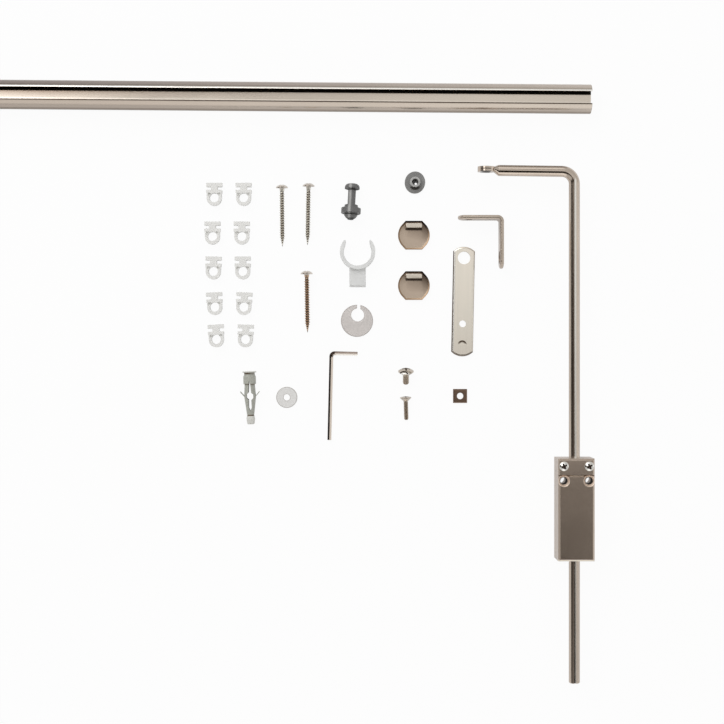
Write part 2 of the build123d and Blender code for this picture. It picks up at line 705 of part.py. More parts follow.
# Flat bracket: strip with two holes and a pressed half-moon dimple
def strip_outline(length):
    """Closed outline of a strip with blunt round ends, centred, its length along local Y."""
    half = STRIP_WIDTH / 2
    corner = length / 2 - STRIP_END_RISE
    with BuildLine() as outline:
        Line((half, -corner), (half, corner))
        ThreePointArc((half, corner), (0, length / 2), (-half, corner))
        Line((-half, corner), (-half, -corner))
        ThreePointArc((-half, -corner), (0, -length / 2), (half, -corner))
    return outline.line


flat_plane = turned_plane(FLAT_X, FLAT_Y, FLAT_TURN)
with BuildPart() as flat_bracket:
    with BuildSketch(flat_plane):
        make_face(strip_outline(FLAT_LENGTH))
    extrude(amount=STRIP_THICKNESS)
    flat_sides = flat_bracket.faces().sort_by(Axis.Z)
    fillet(flat_sides[0].edges() + flat_sides[-1].edges(), STRIP_EDGE)
    with BuildSketch(flat_plane):
        with Locations((0, FLAT_LENGTH / 2 - FLAT_BIG_HOLE_FROM_TOP)):
            Circle(STRIP_BIG_HOLE_RADIUS)
        with Locations((0, FLAT_SMALL_HOLE_FROM_BOTTOM - FLAT_LENGTH / 2)):
            Circle(STRIP_SMALL_HOLE_RADIUS)
    extrude(amount=STRIP_THICKNESS, mode=Mode.SUBTRACT)
    with BuildSketch(flat_plane.offset(STRIP_THICKNESS)):
        with Locations((0, FLAT_DIMPLE_FROM_BOTTOM - FLAT_LENGTH / 2)):
            Circle(FLAT_DIMPLE_RADIUS)
            Rectangle(
                2 * FLAT_DIMPLE_RADIUS,
                FLAT_DIMPLE_RADIUS,
                align=(Align.CENTER, Align.MIN),
                mode=Mode.INTERSECT,
            )
    extrude(amount=-FLAT_DIMPLE_DEPTH, mode=Mode.SUBTRACT)
flat_bracket.part.label = "flat_bracket"
export_step(flat_bracket.part, "parts/flat_bracket.step")

# Angle bracket: the same strip bent square, standing on its edge
arm_plane = Plane(origin=(ANGLE_CORNER_X, ANGLE_CORNER_Y, 0), x_dir=(-1, 0, 0), z_dir=(0, 1, 0))
leg_plane = Plane(origin=(ANGLE_CORNER_X, ANGLE_CORNER_Y, 0), x_dir=(0, -1, 0), z_dir=(-1, 0, 0))


def strip_end_scrap(plane, length):
    """What is cut off to round the end of a leg: the strip's corners beyond its arc."""
    radius = arc_radius(STRIP_WIDTH / 2, STRIP_END_RISE)
    with BuildSketch(plane) as scrap:
        with Locations((length, 0)):
            Rectangle(2 * STRIP_END_RISE, STRIP_WIDTH, align=(Align.MAX, Align.MIN))
        with Locations((length - radius, STRIP_WIDTH / 2)):
            Circle(radius, mode=Mode.SUBTRACT)
    return scrap.sketch


with BuildPart() as angle_bracket:
    with BuildSketch(Plane(origin=(ANGLE_CORNER_X, ANGLE_CORNER_Y, 0))) as angle_sketch:
        with BuildLine():
            Polyline(
                (0, 0),
                (-ANGLE_ARM, 0),
                (-ANGLE_ARM, -STRIP_THICKNESS),
                (-STRIP_THICKNESS, -STRIP_THICKNESS),
                (-STRIP_THICKNESS, -ANGLE_LEG),
                (0, -ANGLE_LEG),
                close=True,
            )
        make_face()
        fillet(angle_sketch.vertices().sort_by_distance((0, 0, 0))[0], ANGLE_OUTER_RADIUS)
        inner_corner = (-STRIP_THICKNESS, -STRIP_THICKNESS, 0)
        fillet(
            angle_sketch.vertices().sort_by_distance(inner_corner)[0],
            ANGLE_OUTER_RADIUS - STRIP_THICKNESS,
        )
    extrude(amount=STRIP_WIDTH)
    extrude(strip_end_scrap(arm_plane, ANGLE_ARM), amount=-STRIP_THICKNESS, mode=Mode.SUBTRACT)
    extrude(strip_end_scrap(leg_plane, ANGLE_LEG), amount=STRIP_THICKNESS, mode=Mode.SUBTRACT)
    angle_rims = angle_bracket.edges().filter_by(Axis.Z, reverse=True)
    fillet(angle_rims.filter_by(lambda rim: not math.isclose(rim.length, STRIP_THICKNESS)), STRIP_EDGE)
    with BuildSketch(arm_plane):
        with Locations((ANGLE_ARM - ANGLE_HOLE_FROM_END, STRIP_WIDTH / 2)):
            Circle(STRIP_SMALL_HOLE_RADIUS)
    extrude(amount=-STRIP_THICKNESS, mode=Mode.SUBTRACT)
    with BuildSketch(leg_plane):
        with Locations((ANGLE_LEG - ANGLE_HOLE_FROM_END, STRIP_WIDTH / 2)):
            Circle(STRIP_BIG_HOLE_RADIUS)
    extrude(amount=STRIP_THICKNESS, mode=Mode.SUBTRACT)
angle_bracket.part.label = "angle_bracket"
export_step(angle_bracket.part, "parts/angle_bracket.step")

# Guide pin: head with a rounded crown, shaft and a thinner tip
flange_start = GROMMET_START + GROMMET_COLLAR_LENGTH
guide_plane = lying_plane(
    GUIDE_X, GUIDE_Y, GUIDE_TURN, GUIDE_HEAD_REST, GUIDE_HEAD_EDGE, GROMMET_FLANGE_RADIUS, flange_start
)
with BuildPart() as guide_pin:
    with BuildSketch(guide_plane):
        with BuildLine():
            Line((0, 0), (0, GUIDE_HEAD_RADIUS - GUIDE_HEAD_EDGE))
            RadiusArc(
                (0, GUIDE_HEAD_RADIUS - GUIDE_HEAD_EDGE),
                (GUIDE_HEAD_EDGE, GUIDE_HEAD_RADIUS),
                GUIDE_HEAD_EDGE,
            )
            Polyline(
                (GUIDE_HEAD_EDGE, GUIDE_HEAD_RADIUS),
                (GUIDE_HEAD_LENGTH, GUIDE_HEAD_RADIUS),
                (GUIDE_HEAD_LENGTH, GUIDE_SHAFT_RADIUS),
                (GUIDE_LENGTH - GUIDE_TIP_LENGTH, GUIDE_SHAFT_RADIUS),
                (GUIDE_LENGTH - GUIDE_TIP_LENGTH, GUIDE_TIP_RADIUS),
                (GUIDE_LENGTH, GUIDE_TIP_RADIUS),
                (GUIDE_LENGTH, 0),
                (0, 0),
            )
        make_face()
    revolve(axis=Axis(guide_plane.origin, guide_plane.x_dir))
guide_pin.part.label = "guide_pin"
export_step(guide_pin.part, "parts/guide_pin.step")

# Pin grommet: flanged sleeve with a coned end that the pin slides in
grommet_bore = GUIDE_SHAFT_RADIUS + GROMMET_FIT
flange_end = flange_start + GROMMET_FLANGE_LENGTH
cone_start = flange_end + GROMMET_TAIL_LENGTH
cone_end = cone_start + GROMMET_CONE_LENGTH
with BuildPart() as pin_grommet:
    with BuildSketch(guide_plane):
        with BuildLine():
            Polyline(
                (GROMMET_START, grommet_bore),
                (GROMMET_START, GROMMET_COLLAR_RADIUS),
                (flange_start, GROMMET_COLLAR_RADIUS),
                (flange_start, GROMMET_FLANGE_RADIUS),
                (flange_end, GROMMET_FLANGE_RADIUS),
                (flange_end, GROMMET_COLLAR_RADIUS),
                (cone_start, GROMMET_COLLAR_RADIUS),
                (cone_end, GROMMET_END_RADIUS),
                (cone_end, grommet_bore),
                close=True,
            )
        make_face()
    revolve(axis=Axis(guide_plane.origin, guide_plane.x_dir))
pin_grommet.part.label = "pin_grommet"
export_step(pin_grommet.part, "parts/pin_grommet.step")

# Spare flanged bush, standing on its slightly oval flange; a small hole opens the floor of its bore
spare_plane = Plane(origin=(SPARE_X, SPARE_Y, 0))
with BuildPart() as flanged_bush:
    with BuildSketch(spare_plane):
        Ellipse(SPARE_FLANGE_WIDTH / 2, SPARE_FLANGE_LENGTH / 2, rotation=SPARE_FLANGE_TURN)
    extrude(amount=SPARE_FLANGE_THICKNESS)
    with BuildSketch(spare_plane):
        Circle(SPARE_BOSS_RADIUS)
    extrude(amount=SPARE_HEIGHT)
    flange_rim = flanged_bush.edges().group_by(Axis.Z)[1].sort_by(SortBy.LENGTH)[-1:]
    fillet(flanged_bush.edges().group_by(Axis.Z)[-1] + flange_rim, SPARE_EDGE)
    with BuildSketch(spare_plane.offset(SPARE_FLOOR)):
        Circle(SPARE_BORE_RADIUS)
    extrude(amount=SPARE_HEIGHT, mode=Mode.SUBTRACT)
    with BuildSketch(spare_plane):
        with Locations((SPARE_VENT_X, SPARE_VENT_Y)):
            Circle(SPARE_VENT_RADIUS)
    extrude(amount=SPARE_FLOOR, mode=Mode.SUBTRACT)
flanged_bush.part.label = "flanged_bush"
export_step(flanged_bush.part, "parts/flanged_bush.step")

# Rail clip: open ring whose arms thin out to their tips, on a lower stem with a rounded end
clip_plane = Plane(origin=(CLIP_X, CLIP_Y, 0))
with BuildPart() as rail_clip:
    with BuildSketch(clip_plane):
        Circle(CLIP_OUTER_RADIUS)
    extrude(amount=CLIP_HEIGHT)
    with BuildSketch(clip_plane):
        Rectangle(CLIP_STEM_WIDTH, CLIP_STEM_LENGTH, align=(Align.CENTER, Align.MAX))
    extrude(amount=CLIP_STEM_HEIGHT)
    stem_end = rail_clip.faces().sort_by(Axis.Y)[0]
    fillet(stem_end.edges().group_by(Axis.Z)[-1], CLIP_STEM_EDGE)
    with BuildSketch(clip_plane):
        Circle(CLIP_INNER_RADIUS)
        with BuildLine():
            Polyline(
                (0, 0),
                (CLIP_INNER_RADIUS, 0),
                (CLIP_TIP_X, CLIP_TIP_Y),
                (CLIP_OUTER_RADIUS, CLIP_TIP_Y + CLIP_TIP_SLOPE * (CLIP_OUTER_RADIUS - CLIP_TIP_X)),
                (0, 2 * CLIP_OUTER_RADIUS),
                close=True,
            )
        make_face()
        mirror(about=Plane.YZ)
    extrude(amount=CLIP_HEIGHT, mode=Mode.SUBTRACT)
rail_clip.part.label = "rail_clip"
export_step(rail_clip.part, "parts/rail_clip.step")

# Slotted disc: off-centre hole, open to the edge through a narrow slot
with BuildPart() as slotted_disc:
    with BuildSketch(Plane(origin=(DISC_X, DISC_Y, 0))):
        Circle(DISC_RADIUS)
        with Locations((DISC_HOLE_OFFSET_X, DISC_HOLE_OFFSET_Y)):
            Circle(DISC_HOLE_RADIUS, mode=Mode.SUBTRACT)
        with Locations((DISC_SLOT_OFFSET_X, DISC_HOLE_OFFSET_Y)):
            Rectangle(
                DISC_SLOT_WIDTH,
                DISC_RADIUS,
                align=(Align.CENTER, Align.MIN),
                mode=Mode.SUBTRACT,
            )
    extrude(amount=DISC_THICKNESS)
slotted_disc.part.label = "slotted_disc"
export_step(slotted_disc.part, "parts/slotted_disc.step")


# Wood screws: low domed head, short neck and a thread drawn as rings at the real pitch
thread_start = WOOD_HEAD_HEIGHT + WOOD_NECK_LENGTH
thread_end = WOOD_LENGTH - WOOD_POINT_LENGTH
ring_count = int((thread_end - thread_start) / WOOD_PITCH)
last_crest = thread_start + (ring_count - 0.5) * WOOD_PITCH


def wood_screw_outline():
    """Half outline of a wood screw along local X, from its crown to its point."""
    brim_start = WOOD_HEAD_HEIGHT - WOOD_HEAD_BRIM
    points = [
        (brim_start, WOOD_HEAD_RADIUS),
        (WOOD_HEAD_HEIGHT, WOOD_HEAD_RADIUS),
        (WOOD_HEAD_HEIGHT, WOOD_NECK_RADIUS),
        (thread_start, WOOD_CORE_RADIUS),
    ]
    for ring in range(ring_count):
        crest = thread_start + (ring + 0.5) * WOOD_PITCH
        points.append((crest - WOOD_CREST_WIDTH, WOOD_CORE_RADIUS))
        points.append((crest, WOOD_CREST_RADIUS))
        points.append((crest + WOOD_CREST_WIDTH, WOOD_CORE_RADIUS))
    points += [(thread_end, WOOD_CORE_RADIUS), (WOOD_LENGTH, 0), (0, 0)]
    with BuildLine() as outline:
        RadiusArc((0, 0), (brim_start, WOOD_HEAD_RADIUS), arc_radius(WOOD_HEAD_RADIUS, brim_start))
        Polyline(points)
    return outline.line


for screw_number, (screw_x, screw_y, screw_turn) in enumerate(WOOD_SCREW_PLACES, start=1):
    screw_plane = lying_plane(
        screw_x,
        screw_y,
        math.radians(screw_turn),
        WOOD_HEAD_RADIUS,
        WOOD_HEAD_HEIGHT,
        WOOD_CREST_RADIUS,
        last_crest,
    )
    with BuildPart() as wood_screw:
        with BuildSketch(screw_plane):
            make_face(wood_screw_outline())
        revolve(axis=Axis(screw_plane.origin, screw_plane.x_dir))
        recess = cross_sketch(end_plane(screw_plane), WOOD_RECESS_SPAN, WOOD_RECESS_SLOT)
        extrude(recess, amount=WOOD_RECESS_DEPTH, mode=Mode.SUBTRACT)
    wood_screw.part.label = f"wood_screw_{screw_number}"
    export_step(wood_screw.part, f"parts/wood_screw_{screw_number}.step")

# Hex key: hexagonal bar bent square, lying on one line of its corners
key_plane = turned_plane(KEY_CORNER_X, KEY_CORNER_Y, KEY_TURN, KEY_FLATS / math.sqrt(3))
with BuildPart() as hex_key:
    with BuildLine(key_plane) as key_path:
        Line((0, -KEY_LONG), (0, -KEY_BEND_RADIUS))
        RadiusArc((0, -KEY_BEND_RADIUS), (KEY_BEND_RADIUS, 0), KEY_BEND_RADIUS)
        Line((KEY_BEND_RADIUS, 0), (KEY_SHORT, 0))
    key_end = Plane(
        origin=key_path.line @ 0,
        x_dir=key_plane.x_dir,
        z_dir=key_plane.y_dir,
    )
    with BuildSketch(key_end):
        RegularPolygon(KEY_FLATS / 2, 6, major_radius=False, rotation=KEY_CORNER_UP)
    sweep(path=key_path.line)
hex_key.part.label = "hex_key"
export_step(hex_key.part, "parts/hex_key.step")

# Wall plug: thin brim, neck, straight shoulders, split body with a window that tapers to a grooved
# tail, and two thin spread fins
plug_plane = lying_plane(
    PLUG_X, PLUG_Y, PLUG_TURN, PLUG_BRIM_RADIUS, PLUG_BRIM_LENGTH, PLUG_WAIST_RADIUS, PLUG_WAIST_END
)
groove_end = PLUG_TAPER_END + PLUG_GROOVE_LENGTH
with BuildPart() as wall_plug:
    with BuildSketch(plug_plane):
        with BuildLine():
            Polyline(
                (0, 0),
                (0, PLUG_BRIM_RADIUS),
                (PLUG_BRIM_LENGTH, PLUG_BRIM_RADIUS),
                (PLUG_BRIM_LENGTH, PLUG_NECK_RADIUS),
                (PLUG_NECK_END, PLUG_NECK_RADIUS),
                (PLUG_SHOULDER_START, PLUG_SHOULDER_RADIUS),
                (PLUG_SHOULDER_END, PLUG_SHOULDER_RADIUS),
                (PLUG_SHOULDER_END, PLUG_BODY_RADIUS),
                (PLUG_WAIST_END, PLUG_WAIST_RADIUS),
                (PLUG_TAPER_END, PLUG_TAPER_RADIUS),
                (PLUG_TAPER_END, PLUG_GROOVE_RADIUS),
                (groove_end, PLUG_GROOVE_RADIUS),
                (groove_end, PLUG_TAIL_START_RADIUS),
                (PLUG_TAIL_WIDEST, PLUG_TAIL_RADIUS),
                (PLUG_LENGTH - PLUG_TAIL_EDGE, PLUG_TAIL_START_RADIUS),
                (PLUG_LENGTH, PLUG_TAIL_START_RADIUS - PLUG_TAIL_EDGE),
                (PLUG_LENGTH, 0),
                close=True,
            )
        make_face()
    revolve(axis=Axis(plug_plane.origin, plug_plane.x_dir))
    fin_tip = PLUG_FIN_ROOT - PLUG_FIN_RISE
    with BuildSketch(top_plane(plug_plane)):
        for side in (-1, 1):
            with BuildLine():
                Polyline(
                    (PLUG_FIN_ROOT, side * PLUG_BODY_RADIUS),
                    (fin_tip, side * PLUG_FIN_REACH),
                    (fin_tip + PLUG_FIN_THICKNESS, side * PLUG_FIN_REACH),
                    (PLUG_FIN_ROOT + PLUG_FIN_THICKNESS, side * PLUG_BODY_RADIUS),
                    close=True,
                )
            make_face()
    extrude(amount=PLUG_FIN_WIDTH / 2, both=True)
    window_corners = (
        (PLUG_SLIT_START, PLUG_SLIT_HALF_START),
        (PLUG_WINDOW_START, PLUG_SLIT_HALF_WIDTH),
        (PLUG_WINDOW_START + PLUG_WINDOW_CORNER, PLUG_WINDOW_HALF_WIDTH),
        (PLUG_WINDOW_END - PLUG_WINDOW_CORNER, PLUG_WINDOW_HALF_WIDTH),
        (PLUG_WINDOW_END, PLUG_SLIT_HALF_WIDTH),
        (PLUG_SLIT_POINT - PLUG_SLIT_POINT_LENGTH, PLUG_SLIT_HALF_WIDTH),
        (PLUG_SLIT_POINT, 0),
    )
    with BuildSketch(top_plane(plug_plane)):
        with BuildLine():
            Polyline((PLUG_SLIT_START, 0), *window_corners, close=True)
        make_face()
        mirror(about=Plane.XZ)
    extrude(amount=PLUG_SHOULDER_RADIUS, both=True, mode=Mode.SUBTRACT)
wall_plug.part.label = "wall_plug"
export_step(wall_plug.part, "parts/wall_plug.step")

# Nylon washer
with BuildPart() as nylon_washer:
    with BuildSketch(Plane(origin=(WASHER_X, WASHER_Y, 0))):
        Circle(WASHER_RADIUS)
    extrude(amount=WASHER_THICKNESS)
    fillet(nylon_washer.edges().group_by(Axis.Z)[-1], WASHER_EDGE)
    with BuildSketch(Plane(origin=(WASHER_X, WASHER_Y, 0))):
        Circle(WASHER_HOLE_RADIUS)
    extrude(amount=WASHER_THICKNESS, mode=Mode.SUBTRACT)
nylon_washer.part.label = "nylon_washer"
export_step(nylon_washer.part, "parts/nylon_washer.step")

# Oval-head machine screw, lying on its head's rim and its end
oval_plane = lying_plane(
    OVAL_X,
    OVAL_Y,
    OVAL_TURN,
    OVAL_HEAD_RADIUS,
    OVAL_DOME + OVAL_RIM,
    OVAL_SHANK_RADIUS,
    OVAL_LENGTH - SCREW_END_CHAMFER,
)
with BuildPart() as machine_screw_oval:
    with BuildSketch(oval_plane):
        make_face(
            countersunk_outline(
                OVAL_HEAD_RADIUS, OVAL_DOME, OVAL_RIM, OVAL_CONE, OVAL_SHANK_RADIUS, OVAL_LENGTH
            )
        )
    revolve(axis=Axis(oval_plane.origin, oval_plane.x_dir))
    recess = cross_sketch(end_plane(oval_plane), OVAL_RECESS_SPAN, RECESS_SLOT)
    extrude(recess, amount=OVAL_DOME + RECESS_DEPTH, mode=Mode.SUBTRACT)
machine_screw_oval.part.label = "machine_screw_oval"
export_step(machine_screw_oval.part, "parts/machine_screw_oval.step")

# Countersunk machine screw
small_plane = lying_plane(
    SMALL_X,
    SMALL_Y,
    SMALL_TURN,
    SMALL_HEAD_RADIUS,
    SMALL_DOME + SMALL_RIM,
    SMALL_SHANK_RADIUS,
    SMALL_LENGTH - SCREW_END_CHAMFER,
)
with BuildPart() as machine_screw_countersunk:
    with BuildSketch(small_plane):
        make_face(
            countersunk_outline(
                SMALL_HEAD_RADIUS, SMALL_DOME, SMALL_RIM, SMALL_CONE, SMALL_SHANK_RADIUS, SMALL_LENGTH
            )
        )
    revolve(axis=Axis(small_plane.origin, small_plane.x_dir))
    recess = cross_sketch(end_plane(small_plane), SMALL_RECESS_SPAN, RECESS_SLOT)
    extrude(recess, amount=RECESS_DEPTH, mode=Mode.SUBTRACT)
machine_screw_countersunk.part.label = "machine_screw_countersunk"
export_step(machine_screw_countersunk.part, "parts/machine_screw_countersunk.step")

# Square nut with bevelled corners on its upper face
with BuildPart() as square_nut:
    with BuildSketch(Plane(origin=(NUT_X, NUT_Y, 0))):
        Rectangle(NUT_SIDE, NUT_SIDE)
    extrude(amount=NUT_THICKNESS)
    chamfer(square_nut.faces().sort_by(Axis.Z)[-1].edges(), NUT_CHAMFER)
    with BuildSketch(Plane(origin=(NUT_X, NUT_Y, 0))):
        Circle(NUT_HOLE_RADIUS)
    extrude(amount=NUT_THICKNESS, mode=Mode.SUBTRACT)
square_nut.part.label = "square_nut"
export_step(square_nut.part, "parts/square_nut.step")
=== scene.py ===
import bmesh
import bpy
import math
from mathutils import Matrix, Vector


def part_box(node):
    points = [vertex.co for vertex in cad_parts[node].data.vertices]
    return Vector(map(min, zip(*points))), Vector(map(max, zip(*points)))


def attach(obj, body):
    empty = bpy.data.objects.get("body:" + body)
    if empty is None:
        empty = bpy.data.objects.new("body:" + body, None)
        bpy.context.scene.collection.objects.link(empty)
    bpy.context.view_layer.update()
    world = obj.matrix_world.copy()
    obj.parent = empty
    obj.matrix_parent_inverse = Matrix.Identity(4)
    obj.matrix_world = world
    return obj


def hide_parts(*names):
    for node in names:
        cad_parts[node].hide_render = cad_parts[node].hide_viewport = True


# A door-curtain rod kit laid out on a white table and seen from straight above, in metres. The
# origin is the middle of the bearing block's back, +X runs along the rail, +Y towards it and +Z up.
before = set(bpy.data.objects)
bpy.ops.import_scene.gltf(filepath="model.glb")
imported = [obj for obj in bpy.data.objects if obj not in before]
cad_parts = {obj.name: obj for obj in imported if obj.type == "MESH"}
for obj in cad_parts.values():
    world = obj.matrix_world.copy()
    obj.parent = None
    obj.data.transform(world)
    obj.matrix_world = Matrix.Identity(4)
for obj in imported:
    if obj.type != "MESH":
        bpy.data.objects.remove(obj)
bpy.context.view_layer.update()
scene = bpy.context.scene
scene.view_settings.view_transform = "Standard"
MM = 0.001


# It looks plain white from above and in the metal, and a trace of its own shading stays, so that
# each piece keeps a faint shadow.
class Value:
    """A socket in a material's maths: the usual operators add the Math nodes that they need."""

    def __init__(self, paint, socket):
        self.paint = paint
        self.socket = socket

    def math(self, operation, *others, clamp=False):
        settings = {"operation": operation, "use_clamp": clamp}
        return self.paint.node("ShaderNodeMath", settings, self, *others)

    def __add__(self, other):
        return self.math("ADD", other)

    def __sub__(self, other):
        return self.math("SUBTRACT", other)

    def __rsub__(self, other):
        return self.paint.node("ShaderNodeMath", {"operation": "SUBTRACT"}, other, self)

    def __mul__(self, other):
        return self.math("MULTIPLY", other)

    def __truediv__(self, other):
        return self.math("DIVIDE", other)

    __radd__ = __add__
    __rmul__ = __mul__

    def above(self, edge, width):
        """0 below the edge and 1 above it, with a soft step of the given width."""
        return ((self - (edge - width / 2)) / width).math("MULTIPLY", 1.0, clamp=True)


class Paint:
    """A node tree under construction, with one method that makes every node."""

    def __init__(self, owner):
        self.owner = owner
        owner.use_nodes = True
        self.tree = owner.node_tree

    def set(self, node, socket, value):
        """Link a value to a socket, or set the socket to a plain number or colour."""
        target = node.inputs[socket]
        if isinstance(value, Value):
            self.tree.links.new(value.socket, target)
        elif isinstance(value, tuple) and target.type == "RGBA":
            target.default_value = (*value, 1.0)
        else:
            target.default_value = value

    def node(self, kind, settings, *values, output=0, **named):
        """Make a node, give it its settings, then fill its sockets in order or by name."""
        made = self.tree.nodes.new(kind)
        for key, value in settings.items():
            setattr(made, key, value)
        for index, value in enumerate(values):
            self.set(made, index, value)
        for socket, value in named.items():
            self.set(made, socket.replace("_", " "), value)
        return Value(self, made.outputs[output])

    def mix(self, factor, first, second):
        """Blend of two colours."""
        made = self.node("ShaderNodeMix", {"data_type": "RGBA"}, output=2).socket.node
        for index, value in ((0, factor), (6, first), (7, second)):
            self.set(made, index, value)
        return Value(self, made.outputs[2])


CARD_WHITE = (0.9, 0.9, 0.915)
GLOW_SEEN = 0.95
GLOW_MIRRORED = 0.35


def card():
    """White card that reads as plain white to the eye, in metal and through clear plastic."""
    paint = Paint(bpy.data.materials.new("white card"))
    shader = paint.tree.nodes["Principled BSDF"]
    paint.set(shader, "Base Color", CARD_WHITE)
    paint.set(shader, "Roughness", 0.9)
    rays = paint.tree.nodes.new("ShaderNodeLightPath")
    kinds = ("Is Camera Ray", "Is Glossy Ray", "Is Transmission Ray")
    seen, mirrored, through = (Value(paint, rays.outputs[kind]) for kind in kinds)
    glow = paint.node("ShaderNodeEmission", {}, (1.0, 1.0, 1.0), 1.0)
    share = (seen + through) * GLOW_SEEN + mirrored * GLOW_MIRRORED
    both = paint.node("ShaderNodeMixShader", {}, share, Value(paint, shader.outputs[0]), glow)
    paint.set(paint.tree.nodes["Material Output"], "Surface", both)
    return paint.owner


TABLE_HALF = 3.0
TABLE_DROP = 0.05 * MM
table_mesh = bpy.data.meshes.new("table")
shape = bmesh.new()
bmesh.ops.create_grid(shape, x_segments=1, y_segments=1, size=TABLE_HALF)
bmesh.ops.translate(shape, verts=shape.verts, vec=(0.0, 0.0, -TABLE_DROP))
shape.to_mesh(table_mesh)
shape.free()
table_mesh.materials.append(card())
table = bpy.data.objects.new("table", table_mesh)
scene.collection.objects.link(table)

# The camera hangs a metre above the table on a long lens. Round it the studio has pale screens
# beyond the table's long sides and on the right, and dark room on the left and behind the camera.
# One large soft lamp stands on the upper left.
CAMERA_PLACE = (-135.66 * MM, 93.61 * MM, 1.0)
CAMERA_LENS = 76.97
camera = bpy.data.objects.new("camera", bpy.data.cameras.new("camera"))
camera.location = CAMERA_PLACE
camera.data.lens = CAMERA_LENS
camera.data.sensor_width = 36.0
camera.data.clip_start = 0.05
camera.data.clip_end = 20.0
scene.collection.objects.link(camera)
scene.camera = camera

ROOM_LIGHT = 0.58
DIM_COLOUR = (1.0, 0.85, 0.73)
BRIGHT_COLOUR = (1.0, 0.995, 0.98)
SCREENS = (
    # each screen's middle, as degrees from the zenith towards +X and towards +Y, its reach and the
    # softness of its edge in degrees, and the brightness that it adds or takes away
    (0.0, 51.0, 12.0, 8.0, 0.6),
    (0.0, 30.0, 7.0, 6.0, -0.12),
    (0.0, -68.0, 22.0, 6.0, 0.52),
    (40.0, 5.0, 18.0, 12.0, 0.15),
    (76.0, 5.0, 9.0, 6.0, 0.5),
    (4.0, 4.0, 4.0, 5.0, 0.4),
    (4.0, -25.0, 22.0, 6.0, -0.55),
    (28.0, -15.0, 12.0, 8.0, -0.3),
    (-15.0, -3.0, 10.0, 6.0, -0.45),
    (-37.0, 0.0, 12.0, 6.0, -0.35),
    (-62.0, -2.0, 15.0, 6.0, -0.6),
)


def studio_light(world):
    """Brightness of the studio in each direction."""
    paint = Paint(world)
    where = paint.node("ShaderNodeTexCoord", {})
    light = ROOM_LIGHT
    for east, north, reach, soft, strength in SCREENS:
        middle = Vector((math.tan(math.radians(east)), math.tan(math.radians(north)), 1.0))
        middle.normalize()
        facing = paint.node(
            "ShaderNodeVectorMath",
            {"operation": "DOT_PRODUCT"},
            where,
            tuple(middle),
            output="Value",
        )
        inner = math.cos(math.radians(max(reach - soft / 2, 0.0)))
        outer = math.cos(math.radians(reach + soft / 2))
        light = facing.above((inner + outer) / 2, inner - outer) * strength + light
    background = paint.tree.nodes["Background"]
    lit = light.above(0.35, 0.5)
    paint.set(background, "Color", paint.mix(lit, DIM_COLOUR, BRIGHT_COLOUR))
    paint.set(background, "Strength", light.math("MAXIMUM", 0.01))


scene.world = bpy.data.worlds.new("studio")
studio_light(scene.world)

KIT_MIDDLE = Vector((-0.13, 0.09, 0.0))
LAMP_PLACE = Vector((-0.9, 1.1, 1.3))
LAMP_SIDE = 1.5
LAMP_POWER = 12.5
lamp = bpy.data.lights.new("upper left lamp", "AREA")
lamp.shape = "RECTANGLE"
lamp.size = LAMP_SIDE
lamp.size_y = LAMP_SIDE
lamp.energy = LAMP_POWER
soft_box = bpy.data.objects.new("upper left lamp", lamp)
soft_box.location = LAMP_PLACE
soft_box.rotation_mode = "QUATERNION"
soft_box.rotation_quaternion = (KIT_MIDDLE - LAMP_PLACE).to_track_quat("-Z", "Y")
scene.collection.objects.link(soft_box)

# The rail is a rolled steel tube, flat above and below, with a slot along its upper side for the
# gliders. It is plated in satin nickel, and the rolling leaves a fine grain along it.
SAME_POINT = 0.002 * MM
SAME_PLANE = math.radians(0.4)
SHARP_ANGLE = math.radians(32.0)


def merged(node):
    """The shape of a CAD node as a closed mesh with plain flat faces."""
    shape = bmesh.new()
    shape.from_mesh(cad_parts[node].data)
    bmesh.ops.remove_doubles(shape, verts=shape.verts, dist=SAME_POINT)
    bmesh.ops.dissolve_limit(shape, angle_limit=SAME_PLANE, verts=shape.verts, edges=shape.edges)
    return shape


def soften(shape, width):
    """Round every edge that turns by more than the sharp angle."""
    turned = [edge for edge in shape.edges if edge.is_manifold]
    sharp = [edge for edge in turned if edge.calc_face_angle() > SHARP_ANGLE]
    bmesh.ops.bevel(
        shape,
        geom=sharp,
        offset=width,
        segments=2,
        profile=0.5,
        affect="EDGES",
        clamp_overlap=True,
        material=-1,
    )


def place_piece(name, shape, material, node, body="kit"):
    """Make a piece from a mesh under construction, and let it stand for its CAD node."""
    mesh = bpy.data.meshes.new(name)
    shape.to_mesh(mesh)
    shape.free()
    mesh.shade_smooth()
    mesh.set_sharp_from_angle(angle=SHARP_ANGLE)
    mesh.materials.append(material)
    piece = bpy.data.objects.new(name, mesh)
    scene.collection.objects.link(piece)
    shading = piece.modifiers.new("even shading", "WEIGHTED_NORMAL")
    shading.keep_sharp = True
    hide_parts(node)
    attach(piece, body)
    return piece


def soft_copy(node, piece, width, material, body="kit"):
    """Detailed stand-in for a CAD node: the same shape with its edges rounded."""
    shape = merged(node)
    soften(shape, width)
    place_piece(piece, shape, material, node, body)


def noise(paint, scale, detail, stretch=(1.0, 1.0, 1.0), roughness=0.5):
    """Noise of a given scale per metre on the piece's own coordinates, stretched if asked."""
    where = paint.node("ShaderNodeTexCoord", {}, output="Object")
    place = paint.node("ShaderNodeMapping", {}, where, Scale=stretch)
    return paint.node(
        "ShaderNodeTexNoise", {}, Vector=place, Scale=scale, Detail=detail, Roughness=roughness
    )


def bump(paint, shader, height, distance, strength):
    """Raise the surface by a height pattern."""
    raised = paint.node("ShaderNodeBump", {}, Height=height, Distance=distance, Strength=strength)
    paint.set(shader, "Normal", raised)


def coordinates(paint, kind="Object"):
    """The coordinates of a point, in metres on the piece or as its UV map keeps them."""
    where = paint.node("ShaderNodeTexCoord", {}, output=kind)
    split = paint.node("ShaderNodeSeparateXYZ", {}, where).socket.node
    return [Value(paint, split.outputs[axis]) for axis in range(3)]


